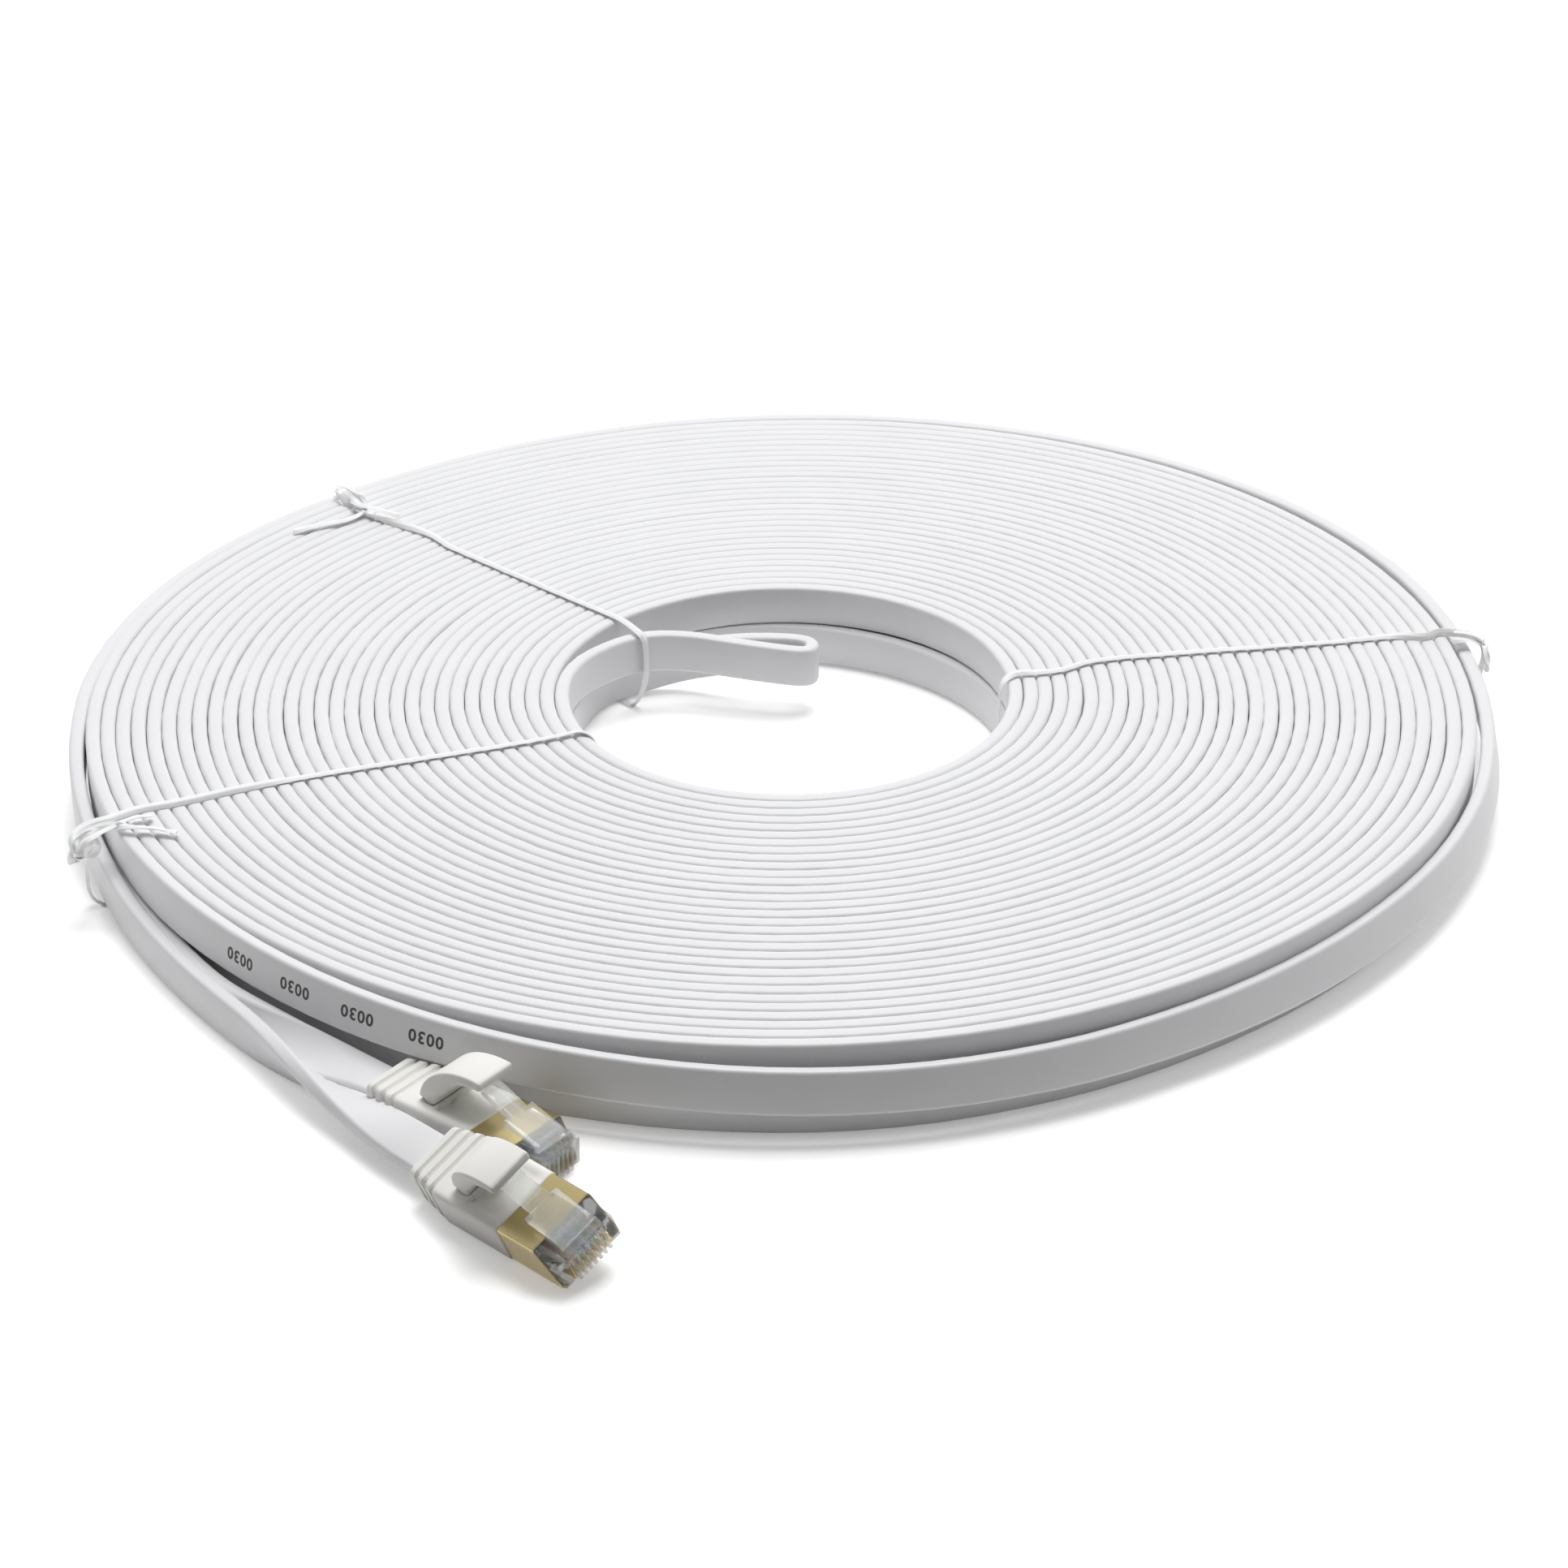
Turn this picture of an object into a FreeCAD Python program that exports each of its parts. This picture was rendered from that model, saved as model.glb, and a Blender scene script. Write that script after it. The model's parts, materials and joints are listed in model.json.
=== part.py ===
"""Flat screened network cable with two plugs, wound in two layers and held by three twist ties.

Millimetres, +Z up, the floor at z = 0. The winding lies flat; its axis is vertical. Seen from above it
spirals outward counter-clockwise, and both cable ends leave it on the left and lie in front of it.
"""
import FreeCAD, Part
import math
import os
import re

import Sketcher

SIZES = {
    # Flat cable: width, thickness and the cut along its four long edges
    "tape_width": 7.0,
    "tape_thickness": 2.3,
    "tape_chamfer": 0.6,
    # Winding: its axis, the radii of the cable's centre line and the flat under the lower layer
    "coil_centre_x": -0.4,
    "coil_centre_y": 19.5,
    "whole_turns": 23,
    "inner_radius": 36.5,
    "upper_outer_radius": 117.5,
    "lower_outer_radius": 115.5,
    "layer_flat": 0.5,
    "end_straight": 3.0,
    # Twist ties
    "tie_thickness": 0.6,
    "tie_width": 1.6,
    "tie_corner": 0.9,
    "tie_clearance": 0.3,
    "fold_reach": 5.0,
    "knot_length": 2.4,
    "knot_height": 3.0,
    "knot_width": 2.4,
    "knot_level": 8.5,
    "tail_length": 6.0,
    # Plug: outside of the shield, measured from the shield's underside and the boot's front edge
    "plug_width": 11.7,
    "plug_height": 6.8,
    "shield_wall": 0.2,
    "shield_step": 0.4,
    "shield_back": 9.5,
    "shield_top_reach": 7.4,
    "shield_low_reach": 10.5,
    "shield_low_height": 0.7,
    "shield_window_back": 6.0,
    "shield_window_width": 8.9,
    "fit": 0.05,
    "overrun": 1.0,
    # Clear housing
    "nose_reach": 11.96,
    "nose_width": 6.8,
    "nose_chamfer": 0.4,
    "shoulder_reach": 11.2,
    "shoulder_front_height": 4.4,
    "shoulder_step_x": 8.9,
    "shoulder_step_height": 4.9,
    "housing_back": 8.5,
    # Wires, contacts and load bar
    "wire_pitch": 1.02,
    "wire_diameter": 0.84,
    "wire_level": 3.4,
    "wire_front": 11.0,
    "wire_clearance": 0.03,
    "channel_clearance": 0.08,
    "contact_thickness": 0.35,
    "contact_back": 7.8,
    "contact_front": 11.5,
    "contact_low": 0.45,
    "contact_bite": 0.3,
    "contact_slot": 0.47,
    "load_bar_back": 3.0,
    "load_bar_length": 2.0,
    "load_bar_width": 8.8,
    "load_bar_height": 2.3,
    # Boot
    "boot_width": 12.1,
    "boot_height": 7.1,
    "boot_corner": 0.8,
    "boot_body_length": 13.7,
    "boot_length": 20.8,
    "collar_width": 9.6,
    "collar_height": 6.2,
    "groove_width": 0.8,
    "groove_depth": 0.6,
    "groove_pitch": 2.1,
    "first_groove": 1.9,
    "mound_front": 4.6,
    "mound_back": 7.0,
    "mound_width": 3.9,
    "mound_height": 1.2,
    "mound_slope": 0.4,
    # Inner moulding, crimp band and screen
    "mould_back": 17.5,
    "mould_front": 9.6,
    "mould_width": 9.2,
    "mould_height": 5.0,
    "mould_corner": 0.6,
    "jacket_end": 9.2,
    "slot_clearance": 0.1,
    "foil_wall": 0.15,
    "foil_back": 13.4,
    "foil_front": 9.6,
    "band_wall": 0.35,
    "band_back": 13.2,
    "band_front": 10.0,
    # Latch guard and its pivot on the boot
    "guard_width": 7.5,
    "guard_pivot_x": 9.1,
    "guard_pivot_rise": 1.25,
    "guard_barrel": 1.3,
    "guard_back_rise": 1.8,
    "guard_knee_x": 3.8,
    "guard_knee_rise": 7.1,
    "guard_reach": 0.5,
    "guard_top_rise": 7.3,
    "guard_tip_rise": 5.6,
    "guard_arch_x": 3.3,
    "guard_arch_rise": 5.0,
    "guard_hollow_x": 5.8,
    "guard_hollow_rise": 3.8,
    "saddle_half": 1.7,
    "saddle_rise": 0.6,
    # Latch and its pivot on the nose
    "latch_width": 6.4,
    "latch_tail_width": 3.9,
    "latch_pivot_x": 10.6,
    "latch_pivot_level": 6.45,
    "latch_barrel": 0.5,
    "latch_root_rise": 0.1,
    "latch_root_x": 10.1,
    "latch_shoulder_x": 4.6,
    "latch_under_rise": 1.3,
    "latch_over_rise": 2.4,
    "latch_tail_end": 0.8,
    "latch_tail_under": 4.1,
    "latch_tail_over": 5.1,
    "latch_tail_root": 0.4,
    "pivot_clearance": 0.08,
}

# Directions about the winding's axis, in degrees counter-clockwise from +X
UPPER_INNER_ANGLE = 168.0
LOWER_INNER_ANGLE = 150.0
OUTER_ANGLE = 208.0

# Ties: the directions of their inner and outer ends
TIES = {"left": (207.6, 206.0), "back": (143.3, 136.2), "right": (358.6, 366.9)}

# Plugs: the boot's front edge as its direction from the axis and its distance outside the winding's
# largest radius, then the plug's heading, rise and lean in degrees
PLUGS = {"front": (256.64, 30.09, -46.5, -2.0, 23.5), "rear": (250.73, 9.66, -37.2, 0.0, 0.0)}

# Cable routes between the ends that the windings and plugs settle: direction from the axis, distance
# outside the winding's largest radius (for the fold, its inner radius) and height of the cable's centre
FRONT_ROUTE = ((220.7, 3.0, 7.9), (226.4, 4.9, 4.9), (232.3, 7.7, 3.8), (238.6, 11.4, 3.8))
REAR_ROUTE = ((220.5, -0.2, 3.6), (226.8, 0.8, 3.6), (232.2, 1.2, 3.6))
FOLD_ROUTE = (
    (143.7, -2.4, 10.6), (130.5, -7.7, 10.5), (112.8, -15.9, 10.3), (94.7, -18.3, 10.4),
    (75.6, -18.0, 10.5), (78.5, -13.3, 10.5), (97.5, -13.4, 10.1), (113.4, -10.0, 8.3),
    (124.4, -3.8, 5.6), (137.6, 0.3, 3.7),
)
ROUTE_LEAD = 9.0
FOLD_LEAD = 5.0
PLUG_LEAD = 7.7
CORNER_SHARE = 0.45

# Share of each free end's length over which the cable turns from upright to the plug's lean
FRONT_TWIST = (0.56, 0.86)
REAR_TWIST = (0.44, 0.80)
ARC_PIECES = 4
POINTS_PER_ARC = 240
TURN_WINDOW = 0.1
UPRIGHT = 90.0

# Wires side by side in the cable and grooves round the boot
WIRES = 8
GROOVES = 3
ROW_START = "%.1f * wire_pitch" % ((WIRES - 1) / 2)

doc = FreeCAD.newDocument("patch_cable")
sheet = doc.addObject("Spreadsheet::Sheet", "sizes")
for row, (alias, value) in enumerate(SIZES.items(), 1):
    sheet.set("A%d" % row, alias.replace("_", " "))
    sheet.set("B%d" % row, str(value))
    sheet.setAlias("B%d" % row, alias)
doc.recompute()

parts = []


def size(alias):
    """Value of one cell of the sheet."""
    return float(sheet.get(alias))


def bound(text):
    """The same expression with each alias read from the sheet."""
    def from_sheet(word):
        return "sizes." + word.group() if word.group() in SIZES else word.group()
    return re.sub(r"[a-z_]{3,}", from_sheet, text)


def keep(label, piece):
    """Name one sub-part and list it among those that are written."""
    piece.Label = label
    parts.append(piece)
    return piece


def plane(body, role):
    """One of the body's own origin planes or axes."""
    return next(item for item in body.Origin.OriginFeatures if item.Role == role)


def sketch_on(body, name, role, outlines, offset="0"):
    """Sketch of closed outlines of straight edges; each corner is a pair of expressions."""
    sketch = body.newObject("Sketcher::SketchObject", name)
    sketch.AttachmentSupport = [(plane(body, role), "")]
    sketch.MapMode = "FlatFace"
    sketch.setExpression("AttachmentOffset.Base.z", bound(offset))
    for corners in outlines:
        first = sketch.GeometryCount
        count = len(corners)
        ring = [FreeCAD.Vector(math.cos(2 * math.pi * k / count), math.sin(2 * math.pi * k / count), 0)
                for k in range(count + 1)]
        for k in range(count):
            sketch.addGeometry(Part.LineSegment(ring[k], ring[k + 1]), False)
        for k in range(count):
            following = first + (k + 1) % count
            sketch.addConstraint(Sketcher.Constraint("Coincident", first + k, 2, following, 1))
        for k, (across, up) in enumerate(corners):
            for kind, text in (("DistanceX", across), ("DistanceY", up)):
                index = sketch.addConstraint(Sketcher.Constraint(kind, -1, 1, first + k, 1, 1.0))
                sketch.setExpression("Constraints[%d]" % index, bound(text))
    return sketch


def circle_on(body, name, role, across, up, radius, offset="0"):
    """Sketch of one circle, its centre and radius given as expressions."""
    sketch = body.newObject("Sketcher::SketchObject", name)
    sketch.AttachmentSupport = [(plane(body, role), "")]
    sketch.MapMode = "FlatFace"
    sketch.setExpression("AttachmentOffset.Base.z", bound(offset))
    sketch.addGeometry(Part.Circle(FreeCAD.Vector(1, 1, 0), FreeCAD.Vector(0, 0, 1), 1), False)
    for constraint, text in ((Sketcher.Constraint("DistanceX", -1, 1, 0, 3, 1.0), across),
                             (Sketcher.Constraint("DistanceY", -1, 1, 0, 3, 1.0), up),
                             (Sketcher.Constraint("Radius", 0, 1.0), radius)):
        index = sketch.addConstraint(constraint)
        sketch.setExpression("Constraints[%d]" % index, bound(text))
    return sketch


def add(body, name, sketch, length, middle=False):
    """Pad along the sketch's normal, or half to each side of it."""
    pad = body.newObject("PartDesign::Pad", name)
    pad.Profile = sketch
    pad.setExpression("Length", bound(length))
    pad.Midplane = middle
    doc.recompute()
    return pad


def take(body, name, sketch, length, middle=False):
    """Pocket along the sketch's normal, or half to each side; it has to remove something."""
    before = body.Shape.Volume
    pocket = body.newObject("PartDesign::Pocket", name)
    pocket.Profile = sketch
    pocket.setExpression("Length", bound(length))
    pocket.Midplane = middle
    pocket.Reversed = not middle
    doc.recompute()
    if body.Shape.Volume > before - 1e-6:
        raise RuntimeError("%s of %s removes nothing" % (name, body.Label))
    return pocket


def repeat(body, name, feature, count, pitch):
    """Copies of one feature along the plug's width."""
    pattern = body.newObject("PartDesign::LinearPattern", name)
    pattern.Originals = [feature]
    pattern.Direction = (plane(body, "Y_Axis"), [""])
    pattern.setExpression("Length", bound("(%s) * %d" % (pitch, count - 1)))
    pattern.Occurrences = count
    body.Tip = pattern
    doc.recompute()
    return pattern


def rectangle(width, low, high):
    """Corners across the plug, for a sketch on the YZ plane."""
    half = "(%s) / 2" % width
    return (("-" + half, low), (half, low), (half, high), ("-" + half, high))


def cut_rectangle(width, low, high, cut):
    """The same with its four corners cut off."""
    half = "(%s) / 2" % width
    inner = "((%s) / 2 - %s)" % (width, cut)
    low_cut = "%s + %s" % (low, cut)
    high_cut = "%s - %s" % (high, cut)
    return (("-" + inner, low), (inner, low), (half, low_cut), (half, high_cut),
            (inner, high), ("-" + inner, high), ("-" + half, high_cut), ("-" + half, low_cut))


def block(body, name, back, length, outline):
    """Prism along the plug's length from a cross-section at x = back."""
    return add(body, name, sketch_on(body, name + "_outline", "YZ_Plane", [outline], back), length)


def cavity(body, name, back, length, *outlines):
    """Hollow along the plug's length from a cross-section at x = back."""
    return take(body, name, sketch_on(body, name + "_outline", "YZ_Plane", outlines, back), length)


def slab(body, name, outline, width):
    """Plate of a side outline, half its width to each side of the middle plane."""
    return add(body, name, sketch_on(body, name + "_outline", "XZ_Plane", [outline]), width, middle=True)


def slot(body, name, outline, width):
    """Slot of a side outline, half its width to each side of the middle plane."""
    return take(body, name, sketch_on(body, name + "_outline", "XZ_Plane", [outline]), width, middle=True)


def new_body(label):
    """Empty body for one sub-part."""
    return keep(label, doc.addObject("PartDesign::Body", label))


def make_shield(label):
    """Folded metal shell: a full-size front box and a stepped-in back that the boot grips."""
    body = new_body(label)
    slab(body, label + "_box", (
        ("0", "0"), ("shield_low_reach", "0"), ("shield_low_reach", "shield_low_height"),
        ("shield_top_reach", "plug_height"), ("0", "plug_height")), "plug_width")
    block(body, label + "_back", "-shield_back", "shield_back + shield_wall",
          rectangle("plug_width - 2 * shield_step", "shield_step", "plug_height - shield_step"))
    cavity(body, label + "_inside", "shield_wall", "nose_reach",
           rectangle("plug_width - 2 * shield_wall", "shield_wall", "plug_height - shield_wall"))
    cavity(body, label + "_neck", "-shield_back - overrun", "shield_back + 2 * overrun",
           rectangle("plug_width - 2 * shield_step - 2 * shield_wall", "shield_step + shield_wall",
                     "plug_height - shield_step - shield_wall"))
    cavity(body, label + "_window", "shield_window_back", "nose_reach",
           rectangle("shield_window_width", "-overrun", "2 * shield_wall"))
    return body


def make_housing(label):
    """Clear body: middle block, lower shoulders, narrow back, wire channel and contact slots."""
    body = new_body(label)
    low = "(shield_wall + fit)"
    high = "(plug_height - shield_wall - fit)"
    back = "(shield_wall + fit)"
    slab(body, label + "_middle", (
        (back, low), ("nose_reach", low), ("nose_reach", high + " - nose_chamfer"),
        ("nose_reach - nose_chamfer", high), (back, high)), "nose_width")
    slab(body, label + "_shoulders", (
        (back, low), ("shoulder_reach", low), ("shoulder_reach", "shoulder_front_height"),
        ("shoulder_step_x", "shoulder_step_height"), ("shield_top_reach", high), (back, high)),
        "plug_width - 2 * shield_wall - 2 * fit")
    block(body, label + "_back", "-housing_back", "housing_back + shield_wall + 2 * fit",
          rectangle("plug_width - 2 * shield_step - 2 * shield_wall - 2 * fit",
                    "shield_step + shield_wall + fit", "plug_height - shield_step - shield_wall - fit"))
    wire_half = "(wire_diameter / 2 + channel_clearance)"
    cavity(body, label + "_channel", "-housing_back - overrun",
           "housing_back + overrun + wire_front + channel_clearance",
           rectangle("2 * %s + 2 * %s" % (ROW_START, wire_half), "wire_level - " + wire_half,
                     "wire_level + " + wire_half))
    cavity(body, label + "_bar_seat", "load_bar_back - fit", "load_bar_length + 2 * fit",
           rectangle("load_bar_width + 2 * fit", "wire_level - load_bar_height / 2 - fit",
                     "wire_level + load_bar_height / 2 + fit"))
    slot_sketch = sketch_on(body, label + "_slot_outline", "XZ_Plane", [(
        ("contact_back - channel_clearance", "-overrun"), ("nose_reach + overrun", "-overrun"),
        ("nose_reach + overrun", "wire_level"), ("contact_back - channel_clearance", "wire_level"))],
        ROW_START)
    first = take(body, label + "_slot", slot_sketch, "contact_slot", middle=True)
    repeat(body, label + "_slots", first, WIRES, "wire_pitch")
    seat = circle_on(body, label + "_seat_outline", "XZ_Plane", "latch_pivot_x", "latch_pivot_level",
                     "latch_barrel + pivot_clearance")
    take(body, label + "_seat", seat, "plug_width", middle=True)
    return body


def make_latch(label):
    """Latch: barrel at the nose, wide sloping part and a narrower tail under the guard."""
    body = new_body(label)
    slab(body, label + "_wide", (
        ("latch_pivot_x", "latch_pivot_level"), ("latch_pivot_x", "latch_pivot_level + latch_barrel"),
        ("latch_shoulder_x", "plug_height + latch_over_rise"),
        ("latch_shoulder_x", "plug_height + latch_under_rise"),
        ("latch_root_x", "plug_height + latch_root_rise")), "latch_width")
    slab(body, label + "_tail", (
        ("latch_shoulder_x + latch_tail_root", "plug_height + latch_under_rise"),
        ("latch_shoulder_x + latch_tail_root", "plug_height + latch_over_rise - latch_tail_root / 2"),
        ("latch_shoulder_x", "plug_height + latch_over_rise"),
        ("-latch_tail_end", "plug_height + latch_tail_over"),
        ("-latch_tail_end", "plug_height + latch_tail_under"),
        ("latch_shoulder_x", "plug_height + latch_under_rise")), "latch_tail_width")
    barrel = circle_on(body, label + "_barrel_outline", "XZ_Plane", "latch_pivot_x", "latch_pivot_level",
                       "latch_barrel")
    add(body, label + "_barrel", barrel, "latch_width", middle=True)
    return body


def make_contacts(label):
    """Eight blades, each biting into the wire above it."""
    body = new_body(label)
    sketch = sketch_on(body, label + "_outline", "XZ_Plane", [(
        ("contact_back", "contact_low"), ("contact_front", "contact_low"),
        ("contact_front", "wire_level - wire_diameter"),
        ("contact_front - wire_diameter", "wire_level - wire_diameter / 2 + contact_bite"),
        ("contact_back", "wire_level - wire_diameter / 2 + contact_bite"))], ROW_START)
    blade = add(body, label + "_blade", sketch, "contact_thickness", middle=True)
    repeat(body, label + "_blades", blade, WIRES, "wire_pitch")
    return body


def make_conductors(label):
    """Eight insulated wires from the jacket's end to the contacts."""
    body = new_body(label)
    sketch = circle_on(body, label + "_outline", "YZ_Plane", "-" + ROW_START, "wire_level",
                       "wire_diameter / 2", "-jacket_end")
    wire = add(body, label + "_wire", sketch, "jacket_end + wire_front")
    repeat(body, label + "_wires", wire, WIRES, "wire_pitch")
    return body


def make_load_bar(label):
    """Comb with one hole for each wire."""
    body = new_body(label)
    block(body, label + "_bar", "load_bar_back", "load_bar_length",
          rectangle("load_bar_width", "wire_level - load_bar_height / 2",
                    "wire_level + load_bar_height / 2"))
    sketch = circle_on(body, label + "_hole_outline", "YZ_Plane", "-" + ROW_START, "wire_level",
                       "wire_diameter / 2 + wire_clearance", "load_bar_back - overrun")
    hole = take(body, label + "_hole", sketch, "load_bar_length + 2 * overrun")
    repeat(body, label + "_holes", hole, WIRES, "wire_pitch")
    return body


def cable_opening():
    """Corners of the slot that the cable passes through, in the middle of the plug's height."""
    low = "(plug_height - tape_thickness) / 2 - slot_clearance"
    high = "(plug_height + tape_thickness) / 2 + slot_clearance"
    return rectangle("tape_width + 2 * slot_clearance", low, high)


def make_boot(label):
    """Strain relief: square body, grooved tapering collar, hollow for the shield and the guard's saddle."""
    body = new_body(label)
    proud = "((boot_height - plug_height) / 2)"
    whole = cut_rectangle("boot_width", "-" + proud, "plug_height + " + proud, "boot_corner")
    block(body, label + "_body", "-boot_body_length", "boot_body_length", whole)
    collar = body.newObject("PartDesign::AdditiveLoft", label + "_collar")
    collar.Profile = sketch_on(body, label + "_collar_front", "YZ_Plane", [whole], "-boot_body_length")
    collar.Sections = [(sketch_on(body, label + "_collar_back", "YZ_Plane", [cut_rectangle(
        "collar_width", "(plug_height - collar_height) / 2", "(plug_height + collar_height) / 2",
        "boot_corner")], "-boot_length"), [""])]
    collar.Ruled = True
    doc.recompute()
    for ring in range(GROOVES):
        middle = "(boot_length - first_groove - %d * groove_pitch)" % ring
        share = "max(0; (%s - boot_body_length) / (boot_length - boot_body_length))" % middle
        width = "(boot_width - (boot_width - collar_width) * %s - 2 * groove_depth)" % share
        height = "(boot_height - (boot_height - collar_height) * %s - 2 * groove_depth)" % share
        cavity(body, "%s_groove_%d" % (label, ring + 1), "-%s - groove_width / 2" % middle, "groove_width",
               rectangle("2 * boot_width", "-plug_height", "2 * plug_height"),
               cut_rectangle(width, "(plug_height - %s) / 2" % height, "(plug_height + %s) / 2" % height,
                             "groove_depth"))
    cavity(body, label + "_shield_seat", "-shield_back - fit", "shield_back + 2 * overrun",
           rectangle("plug_width - 2 * shield_step + 2 * fit", "shield_step - fit",
                     "plug_height - shield_step + fit"))
    cavity(body, label + "_mould_seat", "-mould_back - fit", "mould_back - shield_back + overrun",
           cut_rectangle("mould_width + 2 * fit", "(plug_height - mould_height) / 2 - fit",
                         "(plug_height + mould_height) / 2 + fit", "mould_corner"))
    cavity(body, label + "_cable_slot", "-boot_length - overrun",
           "boot_length - mould_back + 2 * overrun", cable_opening())
    top = "(plug_height + %s)" % proud
    slab(body, label + "_saddle", (
        ("-guard_pivot_x - saddle_half", top + " - fit"), ("-guard_pivot_x + saddle_half", top + " - fit"),
        ("-guard_pivot_x + saddle_half", "plug_height + saddle_rise"),
        ("-guard_pivot_x - saddle_half", "plug_height + saddle_rise")), "guard_width")
    groove = circle_on(body, label + "_pivot_outline", "XZ_Plane", "-guard_pivot_x",
                       "plug_height + guard_pivot_rise", "guard_barrel + pivot_clearance")
    take(body, label + "_pivot", groove, "guard_width + 4 * pivot_clearance", middle=True)
    slab(body, label + "_mound", (
        ("-mound_back", top + " - fit"), ("-mound_front", top + " - fit"),
        ("-(mound_front + mound_slope)", "plug_height + mound_height"),
        ("-(mound_back - mound_slope)", "plug_height + mound_height")), "mound_width")
    return body


def make_guard(label):
    """Snag guard: barrel at its root, rising arm and a flat tip over the latch."""
    body = new_body(label)
    slab(body, label + "_arm", (
        ("-guard_pivot_x - guard_barrel", "plug_height + guard_pivot_rise"),
        ("-guard_pivot_x + guard_barrel", "plug_height + guard_pivot_rise"),
        ("-guard_hollow_x", "plug_height + guard_hollow_rise"),
        ("-guard_arch_x", "plug_height + guard_arch_rise"),
        ("guard_reach", "plug_height + guard_tip_rise"), ("guard_reach", "plug_height + guard_top_rise"),
        ("-guard_knee_x", "plug_height + guard_knee_rise"),
        ("-guard_pivot_x - guard_barrel", "plug_height + guard_back_rise")), "guard_width")
    barrel = circle_on(body, label + "_barrel_outline", "XZ_Plane", "-guard_pivot_x",
                       "plug_height + guard_pivot_rise", "guard_barrel")
    add(body, label + "_barrel", barrel, "guard_width", middle=True)
    return body


def sleeve(label, back, front, gap, wall):
    """Rectangular sleeve round the flat cable; back and front are distances behind the boot's edge."""
    body = new_body(label)
    outside = "(%s + %s)" % (gap, wall)
    block(body, label + "_wall", "-" + back, "%s - %s" % (back, front), round_cable(outside))
    cavity(body, label + "_hollow", "-%s - overrun" % back, "%s - %s + 2 * overrun" % (back, front),
           round_cable(gap))
    return body


def round_cable(away):
    """Corners of a rectangle that lies a distance away from the cable all round."""
    return rectangle("tape_width + 2 * " + away, "plug_height / 2 - tape_thickness / 2 - " + away,
                     "plug_height / 2 + tape_thickness / 2 + " + away)


def make_mould(label):
    """First moulding inside the boot: a cable slot at the back and room for the crimp band in front."""
    body = new_body(label)
    block(body, label + "_block", "-mould_back", "mould_back - mould_front",
          cut_rectangle("mould_width", "(plug_height - mould_height) / 2",
                        "(plug_height + mould_height) / 2", "mould_corner"))
    cavity(body, label + "_cable_slot", "-mould_back - overrun", "mould_back", cable_opening())
    cavity(body, label + "_band_room", "-foil_back - fit", "foil_back",
           round_cable("(foil_wall + band_wall + 3 * fit)"))
    return body


def plug_placement(side, boot):
    """Place of a plug's frame; its boot touches the floor."""
    direction, beyond, heading, rise, lean = PLUGS[side]
    turn = FreeCAD.Rotation(heading, rise, lean)
    lowest = boot.Shape.copy()
    lowest.Placement = FreeCAD.Placement(FreeCAD.Vector(0, 0, 0), turn)
    lift = -lowest.optimalBoundingBox().ZMin
    return FreeCAD.Placement(off_axis(direction, outermost() + beyond, lift), turn)


def make_plug(side):
    """All pieces of one plug, built in the plug's own frame and then placed."""
    boot = make_boot(side + "_boot")
    pieces = [boot, make_guard(side + "_latch_guard"), make_shield(side + "_shield"),
              make_housing(side + "_housing"), make_latch(side + "_latch"),
              make_contacts(side + "_contacts"), make_load_bar(side + "_load_bar"),
              make_conductors(side + "_conductors"), make_mould(side + "_inner_mould"),
              sleeve(side + "_screen_foil", "foil_back", "foil_front", "fit", "foil_wall"),
              sleeve(side + "_crimp_band", "band_back", "band_front", "(2 * fit + foil_wall)", "band_wall")]
    place = plug_placement(side, boot)
    for piece in pieces:
        piece.Placement = place
    guard_level = size("plug_height") + size("guard_pivot_rise")
    nose_top = size("plug_height") - size("shield_wall") - size("fit") - size("nose_chamfer")
    for name, along, level in (("latch pivot", size("latch_pivot_x"), size("latch_pivot_level")),
                               ("guard pivot", -size("guard_pivot_x"), guard_level),
                               ("nose", size("nose_reach"), (size("wire_level") + nose_top) / 2)):
        print("%s %s at %s" % (side, name, place.multVec(FreeCAD.Vector(along, 0, level))))
    print("%s plug points %s, its far side %s" % (side, place.Rotation.multVec(FreeCAD.Vector(1, 0, 0)),
                                                  place.Rotation.multVec(FreeCAD.Vector(0, 1, 0))))
    return place


def ray(angle):
    """Unit vector of a direction in the floor's plane."""
    return FreeCAD.Vector(math.cos(math.radians(angle)), math.sin(math.radians(angle)), 0)


def off_axis(direction, radius, level):
    """Point at a distance from the winding's axis."""
    return FreeCAD.Vector(size("coil_centre_x"), size("coil_centre_y"), level) + ray(direction) * radius


def outermost():
    """Largest radius of the cable's centre line in either layer."""
    return max(size("upper_outer_radius"), size("lower_outer_radius"))


def tape_corners(flat=0.0):
    """Corners of the cable's cross-section as (across its thickness, along its width)."""
    thick = size("tape_thickness") / 2
    wide = size("tape_width") / 2
    cut = size("tape_chamfer")
    low = -wide + max(flat, 0.0)
    inner = thick - cut + max(flat, 0.0)
    return ((-inner, low), (inner, low), (thick, -wide + cut), (thick, wide - cut),
            (thick - cut, wide), (-thick + cut, wide), (-thick, wide - cut), (-thick, -wide + cut))


def section_area(corners):
    """Area inside a closed outline."""
    return abs(sum(a[0] * b[1] - b[0] * a[1] for a, b in zip(corners, corners[1:] + corners[:1]))) / 2


def section_wire(point, tangent, lean, corners):
    """Cable section at a point of its path; lean is 90 upright and 0 lying flat."""
    side = FreeCAD.Vector(0, 0, 1).cross(tangent).normalize()
    above = tangent.cross(side).normalize()
    angle = math.radians(lean)
    wide = side * math.cos(angle) + above * math.sin(angle)
    thick = wide.cross(tangent).normalize()
    ends = [point + thick * across + wide * along for across, along in corners]
    return Part.makePolygon(ends + ends[:1])


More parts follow.
